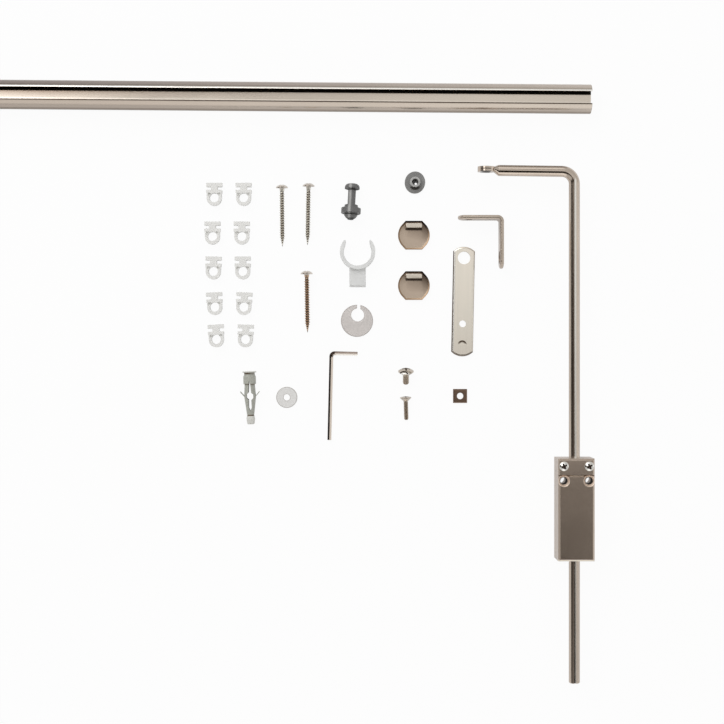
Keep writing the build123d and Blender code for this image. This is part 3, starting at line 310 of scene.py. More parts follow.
def marked(paint, colour, roughness, marks):
    """Lay marks over a surface: each has its place, its colour and how much rougher it is."""
    for place, tint, rougher in marks:
        share = place(paint)
        colour = paint.mix(share, colour, tint)
        roughness = share * rougher + roughness
    return colour, roughness


def plated(
    name, colour, roughness, grain=(1.0, 1.0, 1.0), grain_scale=900.0, depth=0.012, marks=()
):
    """Plated metal: a grain that may run along the piece, cloudy tone and small dull patches."""
    paint = Paint(bpy.data.materials.new(name))
    shader = paint.tree.nodes["Principled BSDF"]
    paint.set(shader, "Metallic", 1.0)
    brushed = noise(paint, grain_scale, 4.0, grain, 0.6)
    cloudy = noise(paint, 28.0, 3.0)
    tone = (brushed - 0.5) * 0.5 + (cloudy - 0.5) * 0.9 + 0.5
    dull = tuple(channel * 0.8 for channel in colour)
    bright = tuple(min(channel * 1.12, 1.0) for channel in colour)
    uneven = (brushed - 0.5) * 0.14 + (cloudy - 0.5) * 0.1 + roughness
    surface, uneven = marked(paint, paint.mix(tone, dull, bright), uneven, marks)
    paint.set(shader, "Base Color", surface)
    paint.set(shader, "Roughness", uneven)
    bump(paint, shader, brushed, depth * MM, 0.4)
    return paint.owner


def on_piece(paint, x, y, turn):
    """Distances of a point from a piece's own place, to its own right and up, and its height."""
    east, north, height = coordinates(paint)
    east = east - x
    north = north - y
    right = east * math.cos(turn) + north * math.sin(turn)
    up = north * math.cos(turn) - east * math.sin(turn)
    return right, up, height


def within(value, low, high, soft):
    """1 between two values, with a soft edge at each."""
    return value.above(low, soft) * (1.0 - value.above(high, soft))


RAIL_PLACE = (10.8 * MM, 261.9 * MM, math.radians(-0.47))
RAIL_FLOOR_HEIGHTS = (8.0 * MM, 12.0 * MM)
RAIL_LIGHTER_FLOOR_FROM = -0.2


def at_floor(height):
    """1 at the height of the channel's floor."""
    return within(height, *RAIL_FLOOR_HEIGHTS, 1.0 * MM)


def at_lips(height):
    """1 at the height of the slot's two lips."""
    return height.above(RAIL_FLOOR_HEIGHTS[1], 1.0 * MM)


def painted_dark_far_lip(paint):
    """1 on the far lip towards the rail's left, where a darker reflection is painted."""
    right, up, height = on_piece(paint, *RAIL_PLACE)
    lip = up.above(4.9 * MM, 0.3 * MM) * height.above(9.0 * MM, 5.0 * MM)
    return lip * (1.0 - right.above(-0.17, 0.36)) * 0.9


def painted_highlight_lip_edge(paint):
    """1 on the rounded edge of the slot's far lip, where a highlight is painted."""
    _, up, height = on_piece(paint, *RAIL_PLACE)
    return within(up, 3.7 * MM, 4.9 * MM, 0.3 * MM) * height.above(16.0 * MM, 0.4 * MM)


def painted_shadow_under_lip(paint):
    """1 in the channel's corner under the far lip, where the lip's shadow is painted."""
    _, up, height = on_piece(paint, *RAIL_PLACE)
    corner = within(height, RAIL_FLOOR_HEIGHTS[0], 14.5 * MM, 1.0 * MM)
    return within(up, 2.5 * MM, 6.5 * MM, 0.4 * MM) * corner


def painted_shade_channel_floor(paint):
    """1 on the channel floor's far half, most of all towards the rail's left: painted shade."""
    right, up, height = on_piece(paint, *RAIL_PLACE)
    floor = at_floor(height) * (1.0 - right.above(RAIL_LIGHTER_FLOOR_FROM, 0.3))
    return up.above(0.2 * MM, 3.6 * MM) * floor


def painted_light_right_floor(paint):
    """1 on the channel floor towards the rail's right end, where a lighter reflection is painted.
    """
    right, _, height = on_piece(paint, *RAIL_PLACE)
    return at_floor(height) * right.above(RAIL_LIGHTER_FLOOR_FROM, 0.3)


def painted_highlight_floor_edge(paint):
    """1 on the near edge of the channel's floor, where a highlight is painted."""
    _, up, height = on_piece(paint, *RAIL_PLACE)
    return within(up, -3.4 * MM, -1.9 * MM, 0.4 * MM) * at_floor(height)


def painted_dark_near_lip(paint):
    """1 on the slot's near lip, less towards the rail's right end: a painted darker reflection."""
    right, up, height = on_piece(paint, *RAIL_PLACE)
    lip = (1.0 - up.above(-4.1 * MM, 0.2 * MM)) * at_lips(height)
    return lip * (1.0 - right.above(-0.15, 0.3) * 0.8)


def painted_shade_lines(paint):
    """1 along the near lip's inner edge and along the rail's near side, where shade is painted."""
    _, up, height = on_piece(paint, *RAIL_PLACE)
    edge = within(up, -4.5 * MM, -3.5 * MM, 0.2 * MM) * at_lips(height)
    side = (1.0 - up.above(-8.6 * MM, 0.3 * MM)) * height.above(7.0 * MM, 3.0 * MM)
    return edge + side * 0.7


BAR_GRAIN = 2400.0
# The rail's marks paint light and shade: darker reflections, highlights and shade in the channel.
rail_metal = plated(
    "satin nickel along X",
    (0.66, 0.585, 0.51),
    0.2,
    grain=(0.004, 1.0, 1.0),
    grain_scale=BAR_GRAIN,
    marks=(
        (painted_dark_far_lip, (0.27, 0.225, 0.21), 0.0),
        (painted_highlight_lip_edge, (1.0, 0.97, 0.92), 0.05),
        (painted_shade_channel_floor, (0.42, 0.335, 0.27), 0.0),
        (painted_light_right_floor, (0.86, 0.77, 0.67), 0.0),
        (painted_shadow_under_lip, (0.012, 0.01, 0.008), 0.2),
        (painted_highlight_floor_edge, (0.95, 0.86, 0.76), 0.0),
        (painted_dark_near_lip, (0.5, 0.43, 0.37), 0.0),
        (painted_shade_lines, (0.2, 0.15, 0.115), 0.1),
    ),
)
soft_copy("rail", "curtain_rail", 0.3 * MM, rail_metal)

# The two end caps are pressed nickel-plated dishes. They lie on their outer faces, so the thin rim
# stands up round the floor, with the tab that plugs into the rail's channel.
CAP_RADIUS = 10.2 * MM
CAP_CORNER = math.radians(37.8)
CAP_SIDE_STEPS = 14
CAP_FLAT = 5.35 * MM
CAP_TOP = 9.2 * MM
CAP_HEIGHT = 2.6 * MM
CAP_TAB_PLACE = 5.8 * MM
CAP_TAB_HALF = (5.1 * MM, 1.5 * MM)
CAP_TAB_CORNER = 0.8 * MM
CAP_TAB_TOP = 6.2 * MM
# Each section's steps go inwards and down from a top face, in millimetres. A rise is what a
# section's upward steps add to the height.
RIM_SECTION = ((0.08, -0.08), (0.06, 0.0), (0.7, 0.18), (0.06, 0.06), (0.02, 0.8))
RIM_RISE = 0.08 * MM
FLOOR_SECTION = ((0.08, 0.12), (0.12, 0.04), (1.5, 0.12), (1.5, 0.09), (1.5, 0.05))
TAB_SECTION = ((0.12, -0.2), (0.2, -0.1))
TAB_RISE = 0.3 * MM
FLOOR_SLOT, RIM_SLOT, TAB_SLOT = range(3)
CAP_MAP = 20.0 * MM


def middle_of(node):
    """Middle of a CAD node's box, seen from above."""
    low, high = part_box(node)
    return (low[0] + high[0]) / 2, (low[1] + high[1]) / 2


def raise_outline(shape, outline, height, slot):
    """Raise a level outline to a height and give back the face on top."""
    base = shape.faces.new([shape.verts.new((x, y, 0.0)) for x, y in outline])
    base.material_index = slot
    base.normal_update()
    raised = bmesh.ops.extrude_face_region(shape, geom=[base])["geom"]
    top = next(part for part in raised if isinstance(part, bmesh.types.BMFace))
    bmesh.ops.translate(shape, verts=top.verts, vec=(0.0, 0.0, height))
    return top


def step_inwards(shape, top, section, slot):
    """Step a top face inwards and down, ring by ring, as a section says in millimetres."""
    for inwards, down in section:
        top.normal_update()
        ring = bmesh.ops.inset_region(
            shape,
            faces=[top],
            thickness=inwards * MM,
            depth=-down * MM,
            use_boundary=True,
            use_even_offset=True,
        )
        for face in ring["faces"]:
            face.material_index = slot
    top.material_index = slot


def cap_outline():
    """Outline of an end cap: flat top and bottom, cut corners and round sides."""
    right = [(CAP_FLAT, -CAP_TOP)]
    for step in range(CAP_SIDE_STEPS + 1):
        turn = CAP_CORNER * (2.0 * step / CAP_SIDE_STEPS - 1.0)
        right.append((CAP_RADIUS * math.cos(turn), CAP_RADIUS * math.sin(turn)))
    right.append((CAP_FLAT, CAP_TOP))
    return right + [(-x, y) for x, y in reversed(right)]


def tab_outline():
    """Outline of a cap's tab: a narrow bar with rounded corners."""
    outline = []
    wide, deep = (half - CAP_TAB_CORNER for half in CAP_TAB_HALF)
    for quarter, (side, end) in enumerate(((1, 1), (-1, 1), (-1, -1), (1, -1))):
        for step in range(5):
            turn = math.radians(90.0 * quarter + 22.5 * step)
            x = side * wide + CAP_TAB_CORNER * math.cos(turn)
            y = end * deep + CAP_TAB_CORNER * math.sin(turn)
            outline.append((x, CAP_TAB_PLACE + y))
    return outline


def painted_shadow_under_tab(paint):
    """1 in the corner at the foot of a cap's tab, where the tab's shadow is painted."""
    x, y, _ = coordinates(paint, "UV")
    foot = (CAP_TAB_PLACE - CAP_TAB_HALF[1]) / CAP_MAP
    near = within(y, foot - 0.055, foot + 0.01, 0.03)
    return near * (1.0 - x.math("ABSOLUTE").above(0.27, 0.04)) * 0.85


def painted_shade_upper_floor(paint):
    """1 on the floor by the tab and on its right, fading towards the lower left: painted shade."""
    x, y, _ = coordinates(paint, "UV")
    return (y + x * 0.3).above(0.1, 0.5) * x.above(-0.24, 0.14) * 0.75


def painted_shade_upper_rim(paint):
    """1 along the upper rim and its right corner, where shade is painted."""
    x, y, _ = coordinates(paint, "UV")
    return (y + x * 0.25).above(0.29, 0.14)


cap_metal = plated(
    "pressed nickel",
    (0.68, 0.555, 0.445),
    0.24,
    grain_scale=700.0,
    marks=((painted_shade_upper_floor, (0.2, 0.145, 0.11), 0.0), (painted_shadow_under_tab, (0.05, 0.035, 0.03), 0.2)),
)
# The rim is the cap's own nickel painted darker: painted shade.
shaded_rim_metal = plated(
    "pressed nickel with painted rim shade",
    (0.38, 0.26, 0.17),
    0.32,
    marks=((painted_shade_upper_rim, (0.02, 0.01, 0.008), 0.1),),
)
# The tab is the cap's own nickel painted lighter, as painted light on its top.
lit_tab_metal = plated(
    "tab of pressed nickel, painted lighter", (0.84, 0.76, 0.66), 0.2, grain=(30.0, 1.0, 1.0), grain_scale=40.0
)
for number in (1, 2):
    node = f"end_cap_{number}"
    shape = bmesh.new()
    top = raise_outline(shape, cap_outline(), CAP_HEIGHT - RIM_RISE, RIM_SLOT)
    step_inwards(shape, top, RIM_SECTION, RIM_SLOT)
    step_inwards(shape, top, FLOOR_SECTION, FLOOR_SLOT)
    top = raise_outline(shape, tab_outline(), CAP_TAB_TOP - TAB_RISE, TAB_SLOT)
    step_inwards(shape, top, TAB_SECTION, TAB_SLOT)
    bmesh.ops.recalc_face_normals(shape, faces=shape.faces)
    flat_map = shape.loops.layers.uv.new("places on the cap")
    for face in shape.faces:
        for corner in face.loops:
            corner[flat_map].uv = corner.vert.co.xy / CAP_MAP
    bmesh.ops.translate(shape, verts=shape.verts, vec=(*middle_of(node), 0.0))
    cap = place_piece(f"cap_{number}", shape, cap_metal, node)
    cap.data.materials.append(shaded_rim_metal)
    cap.data.materials.append(lit_tab_metal)


# The ten gliders are moulded in white acetal: a T head for the rail's channel, a neck, a flange,
# and an eye for the curtain hook with a small pocket at each upper corner.
def moulded(name, colour, roughness, speckle=0.06, marks=(), **uniform):
    """Moulded plastic: slightly uneven in tone and sheen, with a fine skin."""
    paint = Paint(bpy.data.materials.new(name))
    shader = paint.tree.nodes["Principled BSDF"]
    for socket, value in uniform.items():
        paint.set(shader, socket.replace("_", " "), value)
    cloudy = noise(paint, 140.0, 3.0)
    fine = noise(paint, 2200.0, 3.0)
    tone = (cloudy - 0.5) * 1.4 + (fine - 0.5) * 0.3 + 0.5
    dark = tuple(channel * (1.0 - 2.0 * speckle) for channel in colour)
    uneven = (cloudy - 0.5) * 0.15 + (fine - 0.5) * 0.1 + roughness
    surface, uneven = marked(paint, paint.mix(tone, dark, colour), uneven, marks)
    paint.set(shader, "Base Color", surface)
    paint.set(shader, "Roughness", uneven)
    bump(paint, shader, fine, 0.012 * MM, 0.5)
    return paint.owner


acetal = moulded("white acetal", (0.97, 0.97, 0.952), 0.35, speckle=0.015)
for number in range(1, 11):
    node = f"glider_{number:02d}"
    soft_copy(node, f"hook_{node}", 0.35 * MM, acetal)

# The lift rod is a 7 mm steel bar, plated, cranked at its upper end and forged flat to an eye that
# carries the rail. A pin pressed through it rides on the cam inside the block.
ROD_AXIS_HEIGHT = 11.0 * MM
ROD_ARM_Y = 215.3 * MM
ROD_ARM_SLOPE = -0.0145
ROD_BEND_START = ROD_ARM_Y - 5.0 * MM


def on_leg(y, height):
    """1 on the upper half of the rod below its bend."""
    return (1.0 - y.above(ROD_BEND_START, 2.0 * MM)) * height.above(ROD_AXIS_HEIGHT, 1.0 * MM)


def across_arm(x, y):
    """Distance of a point from the arm's middle line, seen from above."""
    return y - ROD_ARM_Y - x * ROD_ARM_SLOPE


def painted_dark_left_of_crown(paint):
    """1 on the left of the leg's crown, where a darker reflection is painted."""
    x, y, height = coordinates(paint)
    upper = y.above(100.0 * MM, 180.0 * MM) * 0.35 + 0.55
    return within(x, -2.1 * MM, -0.45 * MM, 0.4 * MM) * on_leg(y, height) * upper


def painted_highlight_crown(paint):
    """1 along the leg's crown, where a highlight is painted."""
    x, y, height = coordinates(paint)
    return within(x, -0.35 * MM, 0.85 * MM, 0.3 * MM) * on_leg(y, height)


def painted_dark_along_arm(paint):
    """1 along the arm's far edge and just below its crown, where darker reflections are painted."""
    x, y, _ = coordinates(paint)
    across = across_arm(x, y)
    arm = 1.0 - x.above(-6.0 * MM, 4.0 * MM)
    lines = across.above(2.7 * MM, 0.4 * MM) + within(across, -1.3 * MM, -0.4 * MM, 0.4 * MM)
    return lines * arm * x.above(-48.0 * MM, 0.5 * MM) * 0.8


def painted_dark_eye_streaks(paint):
    """1 in two streaks along the top of the eye, where darker reflections are painted."""
    x, y, _ = coordinates(paint)
    across = across_arm(x, y)
    far = within(across, 0.4 * MM, 1.0 * MM, 0.3 * MM)
    near = within(across, -1.5 * MM, -0.8 * MM, 0.3 * MM)
    return (far + near) * within(x, -60.0 * MM, -53.6 * MM, 1.0 * MM)


rod_metal = plated(
    "satin nickel along Y",
    (0.67, 0.575, 0.49),
    0.17,
    grain=(1.0, 0.004, 1.0),
    grain_scale=BAR_GRAIN,
    marks=(
        (painted_dark_left_of_crown, (0.12, 0.095, 0.075), 0.0),
        (painted_dark_eye_streaks, (0.08, 0.06, 0.045), 0.0),
        (painted_highlight_crown, (1.0, 0.97, 0.91), 0.05),
        (painted_dark_along_arm, (0.22, 0.17, 0.14), 0.0),
    ),
)
soft_copy("lift_rod", "cranked_rod", 0.4 * MM, rod_metal, "rod")
steel = plated("bright steel", (0.62, 0.6, 0.57), 0.2)
soft_copy("lift_pin", "cam_pin", 0.15 * MM, steel, "rod")

# The bearing block is a plated casting with a short cover screwed on at its upper end. Inside it
# the rod turns in two bushes, and a cam with a helical ramp lifts it.
HOLE_SPACING = 16.0 * MM
HOLE_Y = 18.4 * MM
HOLE_RADIUS = 2.35 * MM
SINK_RADIUS = 3.75 * MM
COVER_SCREW_Y = 27.7 * MM


def distance_of(across, along):
    """Distance of a point from where both of its coordinates are 0."""
    return (across * across + along * along).math("SQRT")


def from_pair(x, y, pair_y):
    """Distance from the nearer axis of two holes, or of two screws, that lie side by side."""
    return distance_of(x.math("ABSOLUTE") - HOLE_SPACING / 2, y - pair_y)


def painted_shade_in_hole(paint):
    """1 inside the two screw holes, where shade is painted."""
    x, y, _ = coordinates(paint)
    return 1.0 - from_pair(x, y, HOLE_Y).above(HOLE_RADIUS, 0.2 * MM)


def painted_highlight_sink(paint):
    """1 on the countersinks round the holes: a painted highlight and a rougher turned finish."""
    x, y, height = coordinates(paint)
    ring = within(from_pair(x, y, HOLE_Y), HOLE_RADIUS, SINK_RADIUS, 0.2 * MM)
    inside = 1.0 - x.math("ABSOLUTE").above(11.4 * MM, 0.1 * MM)
    return ring * height.above(20.0 * MM, 0.2 * MM) * inside


def painted_highlight_block_edges(paint):
    """1 on the strip of the face below the cover and on the lower chamfer: painted highlights."""
    x, y, height = coordinates(paint)
    strip = within(y, 21.3 * MM, 21.95 * MM, 0.15 * MM) * height.above(21.0 * MM, 0.5 * MM)
    strip = strip * (1.0 - x.math("ABSOLUTE").above(4.6 * MM, 1.0 * MM))
    chamfer = within(height, 19.0 * MM, 21.9 * MM, 0.6 * MM)
    return strip + (1.0 - y.above(-31.5 * MM, 0.3 * MM)) * chamfer


def painted_light_lower_face(paint):
    """1 on the lower half of the block's face, where a lighter reflection is painted."""
    _, y, height = coordinates(paint)
    return (1.0 - y.above(-6.0 * MM, 40.0 * MM)) * height.above(21.6 * MM, 0.3 * MM) * 0.6


def painted_shade_in_recess(paint):
    """1 inside the cross recesses of the cover screws, where shade is painted."""
    x, y, height = coordinates(paint)
    near = 1.0 - from_pair(x, y, COVER_SCREW_Y).above(2.0 * MM, 0.1 * MM)
    return (1.0 - height.above(23.1 * MM, 0.1 * MM)) * near


casting = plated(
    "nickel-plated casting",
    (0.59, 0.49, 0.41),
    0.22,
    grain_scale=1300.0,
    depth=0.01,
    marks=(
        (painted_light_lower_face, (0.76, 0.64, 0.54), 0.0),
        (painted_highlight_block_edges, (1.0, 0.94, 0.85), 0.5),
        (painted_highlight_sink, (0.95, 0.8, 0.68), 0.28),
        (painted_shade_in_hole, (0.02, 0.016, 0.014), 0.3),
    ),
)
soft_copy("block_body", "bearing_block", 0.35 * MM, casting)
soft_copy("block_cover", "bearing_cover", 0.25 * MM, casting)
cover_screw_metal = plated(
    "bright nickel-plated screw",
    (0.98, 0.93, 0.86),
    0.16,
    marks=((painted_shade_in_recess, (0.07, 0.05, 0.04), 0.2),),
)
soft_copy("cover_screws", "cover_screw_pair", 0.1 * MM, cover_screw_metal)
inner_plastic = moulded("hidden acetal", (0.75, 0.75, 0.72), 0.4)
soft_copy("upper_bush", "upper_sleeve", 0.2 * MM, inner_plastic)
soft_copy("lift_cam", "ramp_cam", 0.15 * MM, inner_plastic)
soft_copy("lower_bush", "lower_sleeve", 0.2 * MM, inner_plastic, "turning_bush")

# The flat bracket and the angle bracket are cut from one round-edged strip of plated steel. The
# flat one lies on its face, and the bent one stands on its edge.
STRIP_GRAIN = 1500.0
FLAT_PLACE = (*middle_of("flat_bracket"), math.radians(-1.2))
FLAT_END_UP = -25.45 * MM
FLAT_END_RADIUS = 9.35 * MM
FLAT_DIMPLE_UP = -27.95 * MM
FLAT_DIMPLE_RADIUS = 2.75 * MM


def painted_shade_strip_sides(paint):
    """1 along the flat bracket's long edges and its lower end, where shade is painted."""
    right, up, _ = on_piece(paint, *FLAT_PLACE)
    sides = (right * -1.0).above(6.45 * MM, 0.25 * MM) + right.above(6.65 * MM, 0.25 * MM) * 0.7
    below = up - FLAT_END_UP
    end = distance_of(right, below).above(FLAT_END_RADIUS, 0.3 * MM)
    end = end * (1.0 - below.above(-5.5 * MM, 0.5 * MM)) * 1.2
    return (sides + end).math("MINIMUM", 1.0)


def painted_shadow_in_dimple(paint):
    """1 in the upper part of the half-moon dimple, where its shadow is painted."""
    right, up, height = on_piece(paint, *FLAT_PLACE)
    above = up - FLAT_DIMPLE_UP
    reach = distance_of(right, above)
    return (
        reach.above(FLAT_DIMPLE_RADIUS - 1.0 * MM, 0.9 * MM)
        * (1.0 - reach.above(FLAT_DIMPLE_RADIUS + 0.15 * MM, 0.2 * MM))
        * above.above(0.9 * MM, 1.4 * MM)
        * height.above(1.0 * MM, 0.4 * MM)
    )


def painted_highlight_strip_edge(paint):
    """1 on the rounded edge beside the flat bracket's left side, where a highlight is painted."""
    right, _, height = on_piece(paint, *FLAT_PLACE)
    return within(right, -6.4 * MM, -5.6 * MM, 0.2 * MM) * height.above(1.2 * MM, 0.4 * MM)


# The flat bracket's nickel is painted lighter than the angle bracket's: painted light on its face.
lit_strip_metal = plated(
    "nickel strip, painted lighter",
    (1.0, 0.875, 0.775),
    0.18,
    grain=(1.0, 0.01, 1.0),
    grain_scale=STRIP_GRAIN,
    marks=(
        (painted_highlight_strip_edge, (1.0, 0.98, 0.93), 0.1),
        (painted_shade_strip_sides, (0.16, 0.115, 0.085), 0.1),
        (painted_shadow_in_dimple, (0.14, 0.1, 0.07), 0.1),
    ),
)
soft_copy("flat_bracket", "flat_strip", 0.15 * MM, lit_strip_metal)
bent_strip = plated(
    "satin nickel strip",
    (0.64, 0.55, 0.465),
    0.22,
    grain=(0.01, 1.0, 1.0),
    grain_scale=STRIP_GRAIN,
)
soft_copy("angle_bracket", "angle_strip", 0.15 * MM, bent_strip)

# The guide pin and its grommet are moulded in grey polyamide, and the pin slides in the grommet.
# The spare bush, in a lighter grey, stands on its flange beside them.
GUIDE_PLACE = (-141.8 * MM, 208.0 * MM, math.radians(-3.1))
SPARE_X, SPARE_Y = middle_of("flanged_bush")
BOSS_SHADE_SHIFT = 1.2 * MM


def painted_sheen_on_pin(paint):
    """1 along the left of the pin's crown, where a sheen is painted."""
    right, _, height = on_piece(paint, *GUIDE_PLACE)
    return within(right, -1.9 * MM, -0.3 * MM, 0.8 * MM) * height.above(4.6 * MM, 0.8 * MM) * 0.8


def pin_shadows(paint):
    """1 in the corners under the pin's head and by the grommet's flange, where shadows are painted.
    """
    _, up, _ = on_piece(paint, *GUIDE_PLACE)
    head = within(up, -3.9 * MM, -3.1 * MM, 0.3 * MM)
    flange = within(up, -19.9 * MM, -19.2 * MM, 0.3 * MM)
    tip = within(up, -23.6 * MM, -22.4 * MM, 0.4 * MM)
    return head + flange + tip


def bush_boss(paint):
    """1 on the top rim of the spare bush's boss, which is painted lighter."""
    _, _, height = coordinates(paint)
    return height.above(5.0 * MM, 0.3 * MM)


def painted_shadow_bush_foot(paint):
    """1 on the flange just below the spare bush's boss, where its shadow is painted."""
    x, y, height = coordinates(paint)
    along = y - SPARE_Y + BOSS_SHADE_SHIFT
    near = 1.0 - distance_of(x - SPARE_X, along).above(3.7 * MM, 0.4 * MM)
    below = 1.0 - along.above(-1.6 * MM, 0.8 * MM)
    return near * below * (1.0 - height.above(3.4 * MM, 1.0 * MM))


grey_plastic = moulded(
    "grey polyamide",
    (0.19, 0.19, 0.19),
    0.35,
    speckle=0.12,
    marks=((painted_sheen_on_pin, (0.5, 0.5, 0.49), -0.05), (pin_shadows, (0.012, 0.012, 0.012), 0.1)),
)
bush_plastic = moulded(
    "light grey polyamide",
    (0.31, 0.31, 0.305),
    0.35,
    speckle=0.12,
    marks=((bush_boss, (0.5, 0.5, 0.49), 0.0), (painted_shadow_bush_foot, (0.04, 0.035, 0.03), 0.1)),
)
soft_copy("guide_pin", "headed_pin", 0.2 * MM, grey_plastic, "guide")
soft_copy("pin_grommet", "coned_grommet", 0.35 * MM, grey_plastic)
soft_copy("flanged_bush", "spare_bush", 0.2 * MM, bush_plastic)

# The rail clip is moulded in clear plastic and snaps round the rail. The slotted disc is moulded in
# milky plastic that lets some light through, and its slot opens into an off-centre hole.
PLASTIC_IOR = 1.46
DISC_X, DISC_Y = middle_of("slotted_disc")
DISC_RADIUS = DISC_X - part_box("slotted_disc")[0][0]


def painted_shade_disc_edge(paint):
    """1 at the outer edge of the disc, where shade is painted along its wall."""
    x, y, _ = coordinates(paint)
    distance = distance_of(x - DISC_X, y - DISC_Y)
    return distance.above(DISC_RADIUS - 0.45 * MM, 0.6 * MM) * 0.6


clear = moulded(
    "clear clip",
    (0.98, 0.99, 0.99),
    0.25,
    IOR=PLASTIC_IOR,
    Transmission_Weight=0.03,
    Specular_IOR_Level=0.4,
)
soft_copy("rail_clip", "ring_clip", 0.5 * MM, clear)
milky = moulded(
    "milky disc",
    (0.92, 0.875, 0.85),
    0.35,
    marks=((painted_shade_disc_edge, (0.42, 0.37, 0.34), 0.0),),
    IOR=PLASTIC_IOR,
    Transmission_Weight=0.2,
)
soft_copy("slotted_disc", "split_disc", 0.3 * MM, milky)

# The wood screws are steel, 3.5 mm by 40 mm: a domed head with a cross recess, a short neck, and a
# coarse right-hand thread rolled to the point. Two are nickel-plated, and the third has a bronzed
# thread.
BAR_STEPS = 40
THREAD_STEPS = 24
HEAD_SOFTENING = 0.12 * MM
WELD = 0.001 * MM


def screw_frame(x, y, turn, near_radius, near_distance, far_radius, far_distance):
    """Place of a screw that lies on two of its rims: local X runs from its crown to its end."""
    tilt = math.atan2(near_radius - far_radius, far_distance - near_distance)
    height = near_radius * math.cos(tilt) + near_distance * math.sin(tilt)
    along = Vector(
        (math.sin(turn) * math.cos(tilt), -math.cos(turn) * math.cos(tilt), -math.sin(tilt))
    )
    side = Vector((math.cos(turn), math.sin(turn), 0.0))
    up = along.cross(side)
    place = Matrix.Translation((x, y, height))
    return place @ Matrix((along, side, up)).transposed().to_4x4()


def turned_bar(shape, outline):
    """Spin an outline of distances along X and radii about the X axis."""
    points = [shape.verts.new((along, radius, 0.0)) for along, radius in outline]
    edges = [shape.edges.new(pair) for pair in zip(points, points[1:])]
    bmesh.ops.spin(
        shape,
        geom=points + edges,
        cent=(0.0, 0.0, 0.0),
        axis=(1.0, 0.0, 0.0),
        dvec=(0.0, 0.0, 0.0),
        angle=math.tau,
        steps=BAR_STEPS,
        use_merge=True,
    )


def thread_ridge(shape, start, end, core, crest, pitch, width):
    """Right-hand ridge with a narrow flat top, wound round the X axis."""
    root = core * 0.9
    flat = width * 0.2
    corners = (
        (start - width, root),
        (start - flat, crest),
        (start + flat, crest),
        (start + width, root),
    )
    points = [shape.verts.new((along, radius, 0.0)) for along, radius in corners]
    edges = [shape.edges.new(pair) for pair in zip(points, points[1:] + points[:1])]
    turns = (end - start) / pitch
    count = round(turns * THREAD_STEPS)
    wound = bmesh.ops.spin(
        shape,
        geom=points + edges,
        cent=(0.0, 0.0, 0.0),
        axis=(1.0, 0.0, 0.0),
        dvec=((end - start) / count, 0.0, 0.0),
        angle=math.tau * turns,
        steps=count,
    )
    last = [part for part in wound["geom_last"] if isinstance(part, bmesh.types.BMEdge)]
    bmesh.ops.contextual_create(shape, geom=edges)
    bmesh.ops.contextual_create(shape, geom=last)


def head_only(node, place, neck):
    """The head of a CAD screw in its own frame, cut off flat at its neck, with softened edges."""
    shape = merged(node)
    bmesh.ops.transform(shape, matrix=place.inverted(), verts=shape.verts)
    cut = bmesh.ops.bisect_plane(
        shape,
        geom=shape.verts[:] + shape.edges[:] + shape.faces[:],
        dist=WELD,
        plane_co=(neck, 0.0, 0.0),
        plane_no=(1.0, 0.0, 0.0),
        clear_outer=True,
    )
    rim = [part for part in cut["geom_cut"] if isinstance(part, bmesh.types.BMEdge)]
    bmesh.ops.contextual_create(shape, geom=rim)
    soften(shape, HEAD_SOFTENING)
    shape.loops.layers.uv.new("grooves")
    return shape


def map_grooves(shape, core, crest):
    """Keep in the UV map how deep a point lies below a thread's crest and how far to its side."""
    grooves = shape.loops.layers.uv.new("grooves")
    for face in shape.faces:
        for corner in face.loops:
            radius = math.hypot(corner.vert.co.y, corner.vert.co.z)
            depth = (crest - radius) / (crest - core)
            aside = abs(corner.vert.co.y) / max(radius, 0.01 * MM)
            corner[grooves].uv = (min(max(depth, 0.0), 1.0), aside)


def painted_shade_in_grooves(paint):
    """1 at the bottom of a thread, where shade is painted, less on top than at the sides."""
    depth, aside, _ = coordinates(paint, "UV")
    return depth.above(0.78, 0.3) * (aside.above(0.35, 0.4) * 0.35 + 0.65)


def join_shank(head, shank, place, slot=0):
    """Close a screw's shank, add it to the head and move both to their place."""
    bmesh.ops.remove_doubles(shank, verts=shank.verts, dist=WELD)
    bmesh.ops.recalc_face_normals(shank, faces=shank.faces)
    for face in shank.faces:
        face.material_index = slot
    body = bpy.data.meshes.new("shank")
    shank.to_mesh(body)
    shank.free()
    head.from_mesh(body)
    bpy.data.meshes.remove(body)
    bmesh.ops.transform(head, matrix=place, verts=head.verts)


WOOD_LENGTH = 40.0 * MM
WOOD_HEAD_RADIUS = 3.85 * MM
WOOD_HEAD_HEIGHT = 2.3 * MM
WOOD_NECK_START = WOOD_HEAD_HEIGHT - 0.5 * MM
WOOD_NECK_END = 4.7 * MM
WOOD_NECK_RADII = (1.65 * MM, 1.5 * MM)
WOOD_CORE = 1.1 * MM
WOOD_CREST = 1.72 * MM
WOOD_PITCH = 1.58 * MM
WOOD_RIDGE = 0.5 * MM
WOOD_SUNK_START = 0.33
WOOD_THIN_POINT = 0.97
WOOD_TAPER = 33.5 * MM
WOOD_LAST_CREST = 34.7 * MM
WOOD_POINT_RADIUS = 0.12 * MM
screw_metal = plated("nickel-plated screw head", (0.8, 0.74, 0.67), 0.2)
# The thread's nickel is painted lighter than the head's: a painted highlight on its crests.
lit_thread_metal = plated(
    "nickel-plated thread, painted lighter",
    (1.0, 0.93, 0.82),
    0.38,
    marks=((painted_shade_in_grooves, (0.075, 0.045, 0.025), 0.1),),
)
brown_metal = plated(
    "bronzed thread", (0.76, 0.56, 0.4), 0.38, marks=((painted_shade_in_grooves, (0.02, 0.01, 0.006), 0.1),)
)
